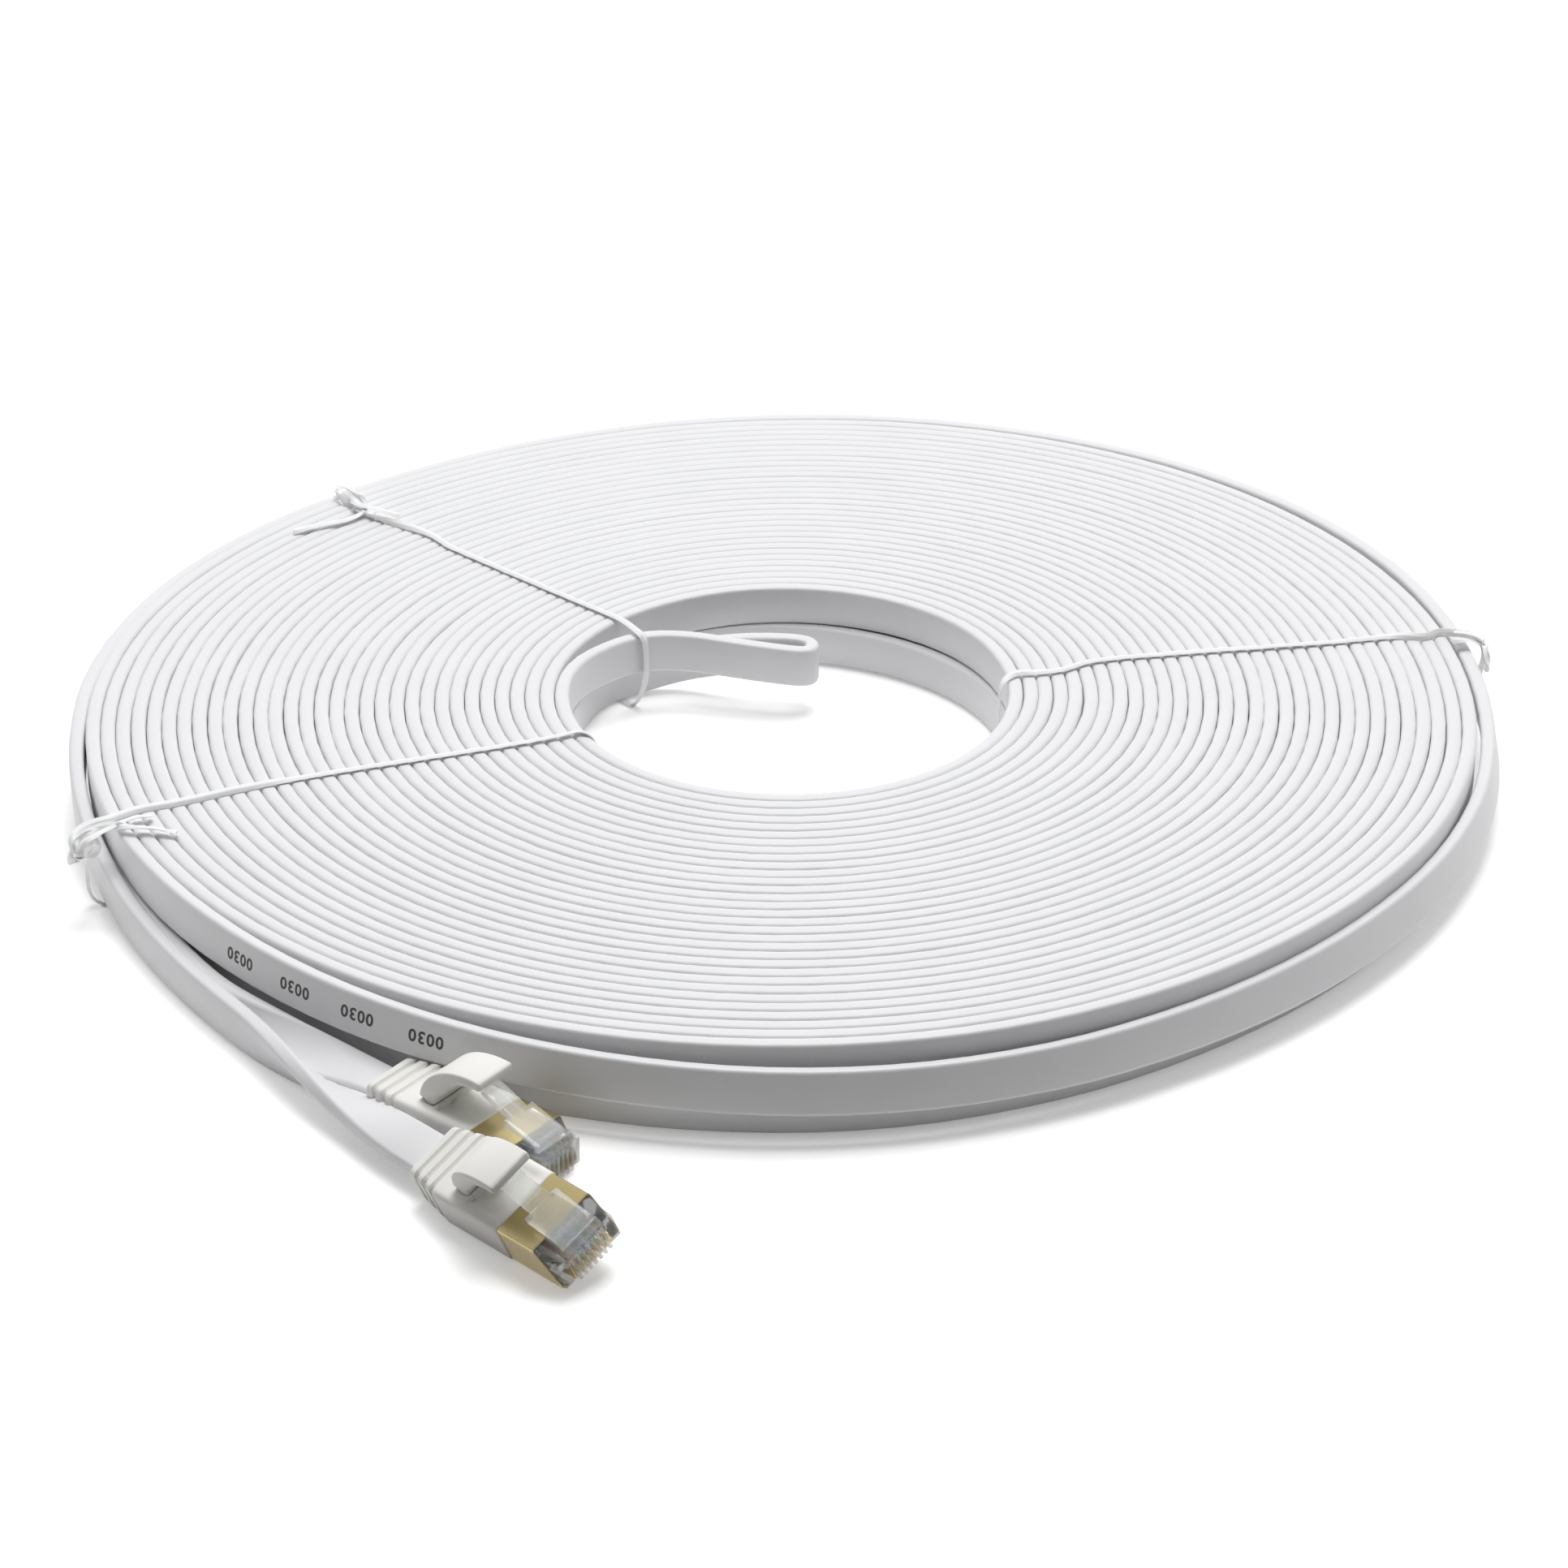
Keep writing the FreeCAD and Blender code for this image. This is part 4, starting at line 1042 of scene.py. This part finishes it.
@dataclass
class Shield:
    """Folded sheet round the plug: slanting at the front and open under the contacts."""

    half: float = 5.85
    height: float = 6.8
    wall: float = 0.2
    corner: float = 0.5
    corner_share: float = 0.9
    fills: tuple = (6, 2, 6, 2)
    step: float = 0.4
    back: float = -9.5
    nose: float = 10.5
    nose_height: float = 0.7
    top_front: float = 7.4
    window_half: float = 4.45
    window_back: float = 6.0
    window_seam: float = 0.02

    def section(self, x: float, inside: float, inset: float) -> list[tuple[float, float, float]]:
        """Section at a place along the shield; the points at the window's edges are doubled."""
        ring = Ring(x, self.half - inside - inset, inside + inset, self.height - inside - inset,
                    self.corner - inside * self.corner_share).points(self.fills)
        edge, seam = self.window_half, self.window_seam
        ring[-2:] = [(x, y, inside + inset) for y in (-edge - seam, -edge + seam, edge - seam, edge + seam)]
        return ring

    def front(self, y: float, z: float) -> float:
        """How far forward the sheet reaches at a point of its section."""
        if abs(y) < self.window_half and z < self.corner:
            return self.window_back
        share = max(0.0, (z - self.nose_height) / (self.height - self.nose_height))
        return self.nose - (self.nose - self.top_front) * share

    def build(self, side: Side) -> bpy.types.Object:
        """Loft the outside and the inside of the sheet into one closed shell."""
        def nosed(inside: float) -> list[tuple[float, float, float]]:
            return [(self.front(y, z), y, z) for x, y, z in self.section(0.0, inside, 0.0)]
        sections = [self.section(self.back, 0.0, self.step), self.section(0.0, 0.0, self.step),
                    self.section(0.0, 0.0, 0.0), nosed(0.0), nosed(self.wall),
                    self.section(self.wall, self.wall, 0.0), self.section(self.wall, self.wall, self.step),
                    self.section(self.back, self.wall, self.step)]
        shield = loft(side.value + "_shield_sheet", plug_place(side), sections, SHIELD, looped=True)
        mark_sharp(shield, angle=40)
        return hand_over(shield, "root", side.value + "_shield")


@dataclass
class Housing:
    """Clear body of the plug, with slots for the contacts and pockets beside them."""

    recess: tuple = ((10.9, 12.4), (-0.25, 0.25), (3.3, 5.2))
    pocket: tuple = ((9.6, 10.9), (4.0, 5.1), (3.2, 7.0))
    rounding: float = 0.1

    def block(self, place: PlugPlace, x: tuple, y: tuple, z: tuple) -> bpy.types.Object:
        """Make one box between the given limits in the plug's own frame."""
        outline = [(x[0], z[0]), (x[1], z[0]), (x[1], z[1]), (x[0], z[1])]
        return prism("cutter", place, outline, y, CLEAR)

    def build(self, side: Side) -> bpy.types.Object:
        """Cut the fine openings into a merged copy of the solid and round its edges."""
        place = plug_place(side)
        node = side.value + "_housing"
        housing = in_scene(node + "_moulding", frame["nodes"][node].data.copy())
        housing.data.materials.clear()
        housing.data.materials.append(material_of(CLEAR))
        work = bmesh.new()
        work.from_mesh(housing.data)
        bmesh.ops.remove_doubles(work, verts=work.verts, dist=WELD)
        bmesh.ops.dissolve_limit(work, angle_limit=math.radians(1), verts=work.verts, edges=work.edges)
        work.to_mesh(housing.data)
        work.free()
        x, y, z = self.recess
        comb = self.block(place, x, (y[0] + FIRST_WAY, y[1] + FIRST_WAY), z)
        set_in_row(comb, side, CLEAR)
        combine(housing, comb, "DIFFERENCE")
        x, y, z = self.pocket
        for ends in (y, (-y[1], -y[0])):
            combine(housing, self.block(place, x, ends, z), "DIFFERENCE")
        round_edges(housing, self.rounding, segments=2, sharpest=50)
        mark_sharp(housing)
        return hand_over(housing, "root", node)


@dataclass
class Latch:
    """Clear spring arm: a broad root with two score lines, shoulders, and a narrow tail under the guard."""

    broad: float = 3.2
    narrow: float = 1.95
    corner: float = 0.14
    fills: tuple = (1, 4, 1, 4)
    stations: tuple = (
        (11.1, 6.3, 6.6), (11.03, 6.16, 6.74), (10.85, 6.02, 6.88), (10.6, 5.96, 6.95), (10.3, 6.08, 7.06),
        (10.1, 6.6, 7.14), (9.9, 6.93, 7.21), (9.64, 6.98, 7.31), (9.62, 6.98, 7.12), (9.5, 7.0, 7.16),
        (9.48, 7.0, 7.37), (9.24, 7.06, 7.46), (9.22, 7.06, 7.26), (9.1, 7.09, 7.3), (9.08, 7.09, 7.52),
        (7.5, 7.45, 8.11), (4.75, 8.05, 9.14), (4.6, 8.12, 9.18))
    tail: tuple = ((4.6, 8.12, 9.18), (3.0, 8.93, 10.0), (-0.55, 10.78, 11.75), (-0.72, 10.88, 11.8),
                   (-0.8, 11.05, 11.7))

    def build(self, side: Side) -> bpy.types.Object:
        """Loft the arm along its length."""
        sections = [Ring(x, half, low, high, self.corner).points(self.fills)
                    for half, stretch in ((self.broad, self.stations), (self.narrow, self.tail))
                    for x, low, high in stretch]
        latch = loft(side.value + "_latch_arm", plug_place(side), sections, CLEAR)
        mark_sharp(latch, angle=30)
        return hand_over(latch, side.value + "_latch_body", side.value + "_latch")


@dataclass
class ContactRow:
    """Eight gold-plated blades and the eight wires that they pierce."""

    blade: tuple = ((7.8, 0.45), (11.3, 0.45), (11.5, 0.65), (11.5, 2.56), (10.66, 3.28), (7.8, 3.28))
    blade_thickness: float = 0.35
    blade_rounding: float = 0.04
    wire_radius: float = 0.42
    wire_height: float = 3.4
    wire_ends: tuple = (JACKET_END, 11.0)
    wire_sides: int = 16

    def build_blades(self, side: Side) -> bpy.types.Object:
        """Make the blades."""
        half = self.blade_thickness / 2
        blades = prism(side.value + "_contact_blades", plug_place(side), list(self.blade),
                       (FIRST_WAY - half, FIRST_WAY + half), BLADE)
        round_edges(blades, self.blade_rounding, segments=1)
        set_in_row(blades, side, BLADE)
        mark_sharp(blades)
        return hand_over(blades, "root", side.value + "_contacts")

    def build_wires(self, side: Side) -> bpy.types.Object:
        """Make the insulated wires."""
        radius = self.wire_radius
        turns = [2 * math.pi * k / self.wire_sides for k in range(self.wire_sides)]
        sections = [[(x, FIRST_WAY + radius * math.cos(turn), self.wire_height + radius * math.sin(turn))
                     for turn in turns] for x in self.wire_ends]
        wires = loft(side.value + "_wires", plug_place(side), sections, WIRE)
        set_in_row(wires, side, WIRE)
        mark_sharp(wires, angle=50)
        return hand_over(wires, "root", side.value + "_conductors")


@dataclass
class LengthMarks:
    """Plain numbers printed on the outer face of the outermost turn, upside down as the cable lies."""

    text: str = "0030"
    groups: int = 4
    first_direction: float = 243.5
    spacing: float = 12.2 * MM
    size: float = 2.75 * MM
    letter_gap: float = 1.12
    boldness: float = 0.06 * MM
    film: float = 0.035 * MM
    digit_middle: float = 0.36
    search_band: float = 2 * MM
    upper_floor: float = 9 * MM

    def lettering(self) -> tuple[list, list]:
        """Corners and faces of one group of digits, lying flat from the origin."""
        data = bpy.data.curves.new("digits", "FONT")
        data.body = self.text
        data.size = self.size
        data.space_character = self.letter_gap
        data.offset = self.boldness
        data.extrude = self.film
        data.resolution_u = 3
        words = in_scene("digits", data)
        mesh = made_mesh(words)
        corners = [tuple(vertex.co) for vertex in mesh.vertices]
        faces = [tuple(polygon.vertices) for polygon in mesh.polygons]
        bpy.data.objects.remove(words)
        bpy.data.curves.remove(data)
        bpy.data.meshes.remove(mesh)
        return corners, faces

    def build(self, cable: Cable) -> bpy.types.Object:
        """Wrap the digits round the turn.

        Args:
            cable: The cable, after its own build.

        Returns:
            The print.
        """
        along, middles, outs, ups = cable.track
        spots = middles - np.array(AXIS)
        directions = np.degrees(np.arctan2(spots[:, 1], spots[:, 0])) % 360
        reaches = np.hypot(spots[:, 0], spots[:, 1])
        outer = (reaches > OUTERMOST_RADIUS - self.search_band) & (spots[:, 2] > self.upper_floor)
        near = np.where(outer, np.abs(directions - self.first_direction), math.inf)
        begin = along[int(np.argmin(near))]
        corners, faces = self.lettering()
        vertices, polygons = [], []
        half = cable.thickness / 2
        rise = self.size * self.digit_middle
        for group in range(self.groups):
            base = len(vertices)
            for x, y, depth in corners:
                reach = begin + group * self.spacing + x
                place, out, up = (Vector([np.interp(reach, along, rows[:, k]) for k in range(3)])
                                  for rows in (middles, outs, ups))
                out.normalize()
                away = out if out.dot(place - AXIS) > 0 else -out
                vertices.append(place + away * (half + depth) - up.normalized() * (y - rise))
            polygons += [tuple(base + corner for corner in face) for face in faces]
        marks = new_object("length_marks", vertices, polygons, material_of(INK))
        face_outwards(marks)
        mark_sharp(marks)
        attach(marks, "root")
        return marks


# A twist tie: its wire core's share of the width, the length of a dent and the corners of its section
CORE_SHARE = 0.36
DENT_LENGTH = 3.5 * MM
TIE_SIDES = 18


@functools.cache
def tie_tree() -> bpy.types.NodeTree:
    """Tree that sweeps a twist tie along a line whose points carry the way that the strip lies.

    Returns:
        The tree; its inputs are Width, Web, Core, Step, Dent, Seed and Finish.
    """
    tree, given = new_tree("twist_tie", {
        "Width": ("NodeSocketFloat", 1.25 * MM), "Web": ("NodeSocketFloat", 0.2 * MM),
        "Core": ("NodeSocketFloat", 0.4 * MM), "Step": ("NodeSocketFloat", 0.4 * MM),
        "Dent": ("NodeSocketFloat", 1.0), "Seed": ("NodeSocketFloat", 0.0), "Finish": ("NodeSocketMaterial", None)})
    line = add_node(tree, "GeometryNodeMeshToCurve", {0: given.outputs["Geometry"]})
    soft = add_node(tree, "GeometryNodeCurveSplineType", {"Curve": line.outputs[0]}, spline_type="CATMULL_ROM")
    even = add_node(tree, "GeometryNodeResampleCurve", {"Curve": soft.outputs[0], "Length": given.outputs["Step"]},
                    mode="LENGTH")
    wild = add_node(tree, "GeometryNodeInputNamedAttribute", {"Name": "crumple"}, data_type="FLOAT")
    depth = maths(tree, "MULTIPLY", wild.outputs[0], given.outputs["Dent"])
    uneven = add_node(tree, "ShaderNodeTexNoise", {"W": given.outputs["Seed"], "Scale": 1 / DENT_LENGTH,
                                                   "Detail": 1.0}, noise_dimensions="4D")
    centred = add_node(tree, "ShaderNodeVectorMath", {0: uneven.outputs["Color"], 1: (0.5, 0.5, 0.5)},
                       operation="SUBTRACT")
    shift = add_node(tree, "ShaderNodeVectorMath", {0: centred.outputs[0], "Scale": depth}, operation="SCALE")
    dented = add_node(tree, "GeometryNodeSetPosition", {"Geometry": even.outputs[0], "Offset": shift.outputs[0]})
    way = add_node(tree, "GeometryNodeInputNamedAttribute", {"Name": "across"}, data_type="FLOAT_VECTOR")
    laid = add_node(tree, "GeometryNodeSetCurveNormal", {"Curve": dented.outputs[0], "Normal": way.outputs[0]},
                    mode="FREE")
    ring = add_node(tree, "GeometryNodeCurvePrimitiveCircle", {"Resolution": TIE_SIDES, "Radius": 1.0})
    spot = add_node(tree, "ShaderNodeSeparateXYZ", {0: add_node(tree, "GeometryNodeInputPosition").outputs[0]})
    half = maths(tree, "MULTIPLY", given.outputs["Width"], 0.5)
    wide = maths(tree, "MULTIPLY", spot.outputs["X"], half)
    out = maths(tree, "DIVIDE", spot.outputs["X"], CORE_SHARE)
    ridge = maths(tree, "SUBTRACT", 1.0, maths(tree, "MULTIPLY", out, out), use_clamp=True)
    raised = maths(tree, "MULTIPLY_ADD", ridge, given.outputs["Core"], given.outputs["Web"])
    tall = maths(tree, "MULTIPLY", spot.outputs["Y"], maths(tree, "MULTIPLY", raised, 0.5))
    corner = add_node(tree, "ShaderNodeCombineXYZ", {"X": wide, "Y": tall})
    section = add_node(tree, "GeometryNodeSetPosition", {"Geometry": ring.outputs[0], "Position": corner.outputs[0]})
    strip = add_node(tree, "GeometryNodeCurveToMesh", {"Curve": laid.outputs[0], "Profile Curve": section.outputs[0],
                                                       "Fill Caps": True})
    close_tree(tree, given, strip.outputs[0])
    return tree


@dataclass(frozen=True)
class TwistTie:
    """One tie round the winding, from one tail through the knot and round to the other tail.

    A bend is its distance along the tie's direction from the hole outwards, its distance to the left of that,
    its height, all in millimetres, then how far the strip is turned from lying flat, in degrees, and how
    crumpled it is. Where the strip runs nearly sideways, with less than steep of the leftward way square to it, its
    lie is worked out from the vertical instead.
    """

    name: str
    inner: tuple
    outer: tuple
    bends: tuple
    seed: float
    width: float = 1.45 * MM
    steep: float = 0.3

    def line(self) -> tuple[list[Vector], list[Vector], list[float]]:
        """Give the places, ways across and crumpling of the tie's bends."""
        start, end = Vector((*self.inner, 0)), Vector((*self.outer, 0))
        along = (end - start).normalized()
        left = UP.cross(along)
        places = [AXIS + (start + along * s + left * t + UP * z) * MM for s, t, z, _, _ in self.bends]
        across = []
        for number, (_, _, _, turn, _) in enumerate(self.bends):
            before, after = places[max(number - 1, 0)], places[min(number + 1, len(places) - 1)]
            way = (after - before).normalized()
            flat = left - way * left.dot(way)
            flat = flat.normalized() if flat.length > self.steep else UP.cross(way).normalized()
            across.append(Matrix.Rotation(math.radians(turn), 3, way) @ flat)
        return places, across, [row[4] * MM for row in self.bends]

    def build(self) -> bpy.types.Object:
        """Sweep the strip along its bends."""
        places, across, crumple = self.line()
        tie = new_object(self.name + "_twist_tie", places, [], edges=[(k, k + 1) for k in range(len(places) - 1)])
        ways = tie.data.attributes.new("across", "FLOAT_VECTOR", "POINT")
        ways.data.foreach_set("vector", [part for way in across for part in way])
        tie.data.attributes.new("crumple", "FLOAT", "POINT").data.foreach_set("value", crumple)
        run_tree(tie, tie_tree(), {"Width": self.width, "Seed": self.seed, "Finish": material_of(TIE)})
        face_outwards(tie)
        mark_sharp(tie, angle=60)
        return hand_over(tie, "root", self.name + "_tie")


TIES = (
    TwistTie("left", (-32.5, -17.0), (-110.4, -53.8), (
        (71.7, 4.2, 15.2, 0, 0.1), (74.8, 1.7, 15.5, 20, 0.1), (78.2, -0.2, 15.6, 0, 0.2),
        (81.3, -2.6, 15.3, -30, 0.4),
        (84.2, -3.6, 14.2, 40, 0.7), (86.5, -1.5, 13.4, 100, 0.8), (86.6, 1.5, 12.6, 160, 0.8),
        (84.6, 2.2, 13.7, 230, 0.8), (83.6, 0.2, 14.7, 270, 0.6), (84.6, -2.6, 13.0, 330, 0.7),
        (86.6, -3.4, 11.8, 360, 0.7), (87.5, -0.8, 11.2, 400, 0.7), (86.3, 0.9, 12.4, 400, 0.7),
        (87.1, -1.7, 13.7, 380, 0.6), (85.7, -3.6, 14.5, 400, 0.4), (82.9, -4.7, 14.9, 410, 0.2),
        (80.0, -5.1, 14.9, 400, 0.1), (77.3, -5.8, 14.85, 395, 0.1), (74.1, -6.3, 14.85, 395, 0.1),
        (68.0, -5.8, 14.85, 395, 0.15), (58.7, -5.9, 14.85, 392, 0.2), (53.0, -5.8, 14.8, 380, 0.2),
        (48.5, -5.6, 14.7, 365, 0.2), (40.0, -4.8, 14.7, 360, 0.15), (24.0, -2.9, 14.7, 360, 0.2),
        (12.0, -1.5, 14.75, 356, 0.2), (4.5, -0.8, 14.9, 350, 0.1), (1.3, -0.7, 14.9, 340, 0.1),
        (-0.3, 0.6, 14.3, 350, 0.1), (-0.9, 1.8, 12.4, 360, 0.1), (-0.9, 2.2, 8.0, 360, 0.1),
        (-0.9, 2.0, 2.6, 360, 0.0), (0.2, 1.6, 0.6, 360, 0.0), (3.0, 1.2, 0.24, 360, 0.0),
        (40.0, -1.5, 0.24, 360, 0.0), (78.0, -4.0, 0.24, 360, 0.0), (82.4, -4.6, 0.5, 360, 0.0),
        (84.0, -5.0, 2.6, 365, 0.1), (84.2, -5.1, 6.0, 360, 0.2), (84.6, -4.0, 9.0, 370, 0.3),
        (86.2, -0.8, 11.3, 400, 0.6), (86.9, 1.4, 13.2, 410, 0.6), (86.0, 1.0, 15.0, 380, 0.5),
        (84.2, 0.6, 15.6, 360, 0.4), (80.9, -1.1, 15.6, 350, 0.2), (76.7, -2.8, 15.5, 345, 0.1),
        (73.4, -2.6, 15.3, 350, 0.1)), seed=3.0),
    TwistTie("back", (-25.6, 19.1), (-81.5, 78.1), (
        (72.6, 17.4, 14.9, 30, 0.0), (71.7, 14.3, 15.1, 10, 0.1), (71.0, 11.5, 15.1, 0, 0.1),
        (69.6, 7.2, 15.1, 0, 0.1),
        (70.1, 3.5, 15.3, -20, 0.3), (72.5, 1.2, 15.5, -60, 0.6), (75.5, 0.4, 15.4, -110, 0.7),
        (78.5, 0.2, 15.9, -150, 0.6), (79.8, 1.2, 16.2, -200, 0.6), (78.6, 2.7, 15.9, -240, 0.7),
        (76.0, 3.0, 15.2, -290, 0.7), (73.5, 1.9, 15.0, -330, 0.7), (71.8, 3.2, 15.0, -360, 0.5),
        (69.2, 3.3, 15.0, -400, 0.4), (65.2, 2.6, 15.0, -440, 0.4), (61.5, 1.6, 15.0, -500, 0.4),
        (55.7, 0.3, 14.95, -530, 0.3), (51.0, 0.5, 14.8, -540, 0.2), (47.6, 0.7, 14.75, -540, 0.2),
        (30.0, -0.4, 14.75, -538, 0.2), (18.0, -1.1, 14.75, -544, 0.2), (7.0, -1.8, 14.85, -540, 0.1),
        (1.0, -0.9, 14.9, -540, 0.1), (-1.1, -0.8, 14.1, -540, 0.1), (-1.7, -0.8, 12.0, -540, 0.1),
        (-1.7, -0.8, 7.6, -540, 0.0), (-0.4, -0.6, 3.0, -540, 0.0), (1.4, -0.5, 0.7, -540, 0.0),
        (5.0, -0.2, 0.24, -540, 0.0), (40.0, 0.4, 0.24, -540, 0.0), (75.0, 1.1, 0.24, -540, 0.0),
        (79.6, 1.2, 0.6, -540, 0.0), (80.6, 1.1, 2.6, -540, 0.1), (80.5, 1.0, 8.0, -540, 0.2),
        (80.2, 0.6, 13.2, -530, 0.3), (78.8, 0.9, 15.3, -520, 0.5), (75.5, 2.2, 15.9, -480, 0.5),
        (72.0, 3.1, 16.0, -540, 0.3), (68.0, 1.6, 15.7, -540, 0.2), (63.9, 0.2, 15.5, -520, 0.1)), seed=11.0),
    TwistTie("right", (37.1, -0.9), (118.4, 14.4), (
        (78.6, 2.6, 15.0, 30, 0.0), (80.6, 2.2, 15.1, 10, 0.2), (82.4, 1.2, 14.9, 0, 0.3), (83.4, 0.2, 13.8, -40, 0.4),
        (83.6, -0.9, 12.4, -80, 0.5), (83.3, -2.2, 11.6, -120, 0.5), (83.0, -3.2, 12.4, -170, 0.5),
        (82.6, -3.1, 14.0, -220, 0.4), (82.8, -1.6, 14.9, -280, 0.4), (83.6, 0.2, 14.6, -340, 0.4),
        (83.3, 1.8, 15.0, -390, 0.4), (82.3, 3.4, 15.2, -410, 0.4), (80.7, 4.6, 15.1, -430, 0.3),
        (77.3, 6.0, 15.0, -440, 0.3), (74.4, 4.9, 14.95, -430, 0.3), (71.0, 6.0, 14.9, -400, 0.3),
        (67.5, 6.5, 14.8, -370, 0.2),
        (58.0, 6.4, 14.75, -360, 0.3), (47.9, 6.6, 14.75, -355, 0.25), (36.0, 7.1, 14.75, -362, 0.3),
        (18.2, 7.2, 14.75, -360, 0.2), (10.7, 4.8, 14.8, -365, 0.2), (6.1, 4.4, 14.9, -370, 0.1),
        (3.0, 4.6, 14.95, -380, 0.1), (0.8, 3.6, 14.7, -370, 0.1), (-0.5, 2.4, 13.8, -360, 0.1),
        (-1.0, 1.5, 11.0, -360, 0.1), (-1.1, 1.2, 7.0, -360, 0.1), (-0.9, 1.1, 2.6, -360, 0.0),
        (0.4, 1.1, 0.6, -360, 0.0), (4.0, 1.2, 0.24, -360, 0.0), (40.0, 1.6, 0.24, -360, 0.0),
        (78.0, 1.9, 0.24, -360, 0.0), (81.6, 1.8, 0.5, -360, 0.0), (82.6, 1.5, 2.2, -360, 0.1),
        (82.9, 1.0, 6.0, -350, 0.2), (83.1, 0.4, 10.0, -340, 0.3), (83.5, 0.0, 12.8, -330, 0.4),
        (83.0, 0.9, 15.1, -340, 0.4), (81.4, 3.0, 15.8, -350, 0.3), (79.4, 4.4, 15.6, -340, 0.1)), seed=23.0),
)


def dress_frame() -> None:
    """Give every solid that stays its own finish."""
    finishes = {"boot": BOOT, "cable_jacket": JACKET, "shield": SHIELD, "clear_plastic": CLEAR,
                "contact_gold": BLADE, "load_bar": CLEAR, "wire_insulation": WIRE, "inner_mould": INNER,
                "crimp_band": BAND, "screen_foil": FOIL, "tie": TIE}
    for part in frame["record"]["subparts"]:
        node = frame["nodes"][part["node"]]
        node.data.materials.clear()
        node.data.materials.append(material_of(finishes[part["material_slot"]]))
    LOG.info("finishes on %d solids", len(frame["nodes"]))


def main() -> None:
    """Build the studio, the finishes, the cable with its print, both plugs and the ties."""
    logging.basicConfig(level=logging.INFO, format="%(message)s")
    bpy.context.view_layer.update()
    Studio().build()
    dress_frame()
    cable = Cable()
    cable.build()
    pieces = [LengthMarks().build(cable)]
    for side in Side:
        pieces += [Boot().build(side), LatchGuard().build(side), Shield().build(side), Housing().build(side),
                   Latch().build(side), ContactRow().build_blades(side), ContactRow().build_wires(side)]
    pieces += [tie.build() for tie in TIES]
    for piece in pieces:
        LOG.info("%s: %d faces", piece.name, len(piece.data.polygons))


if __name__ == "__main__":
    main()
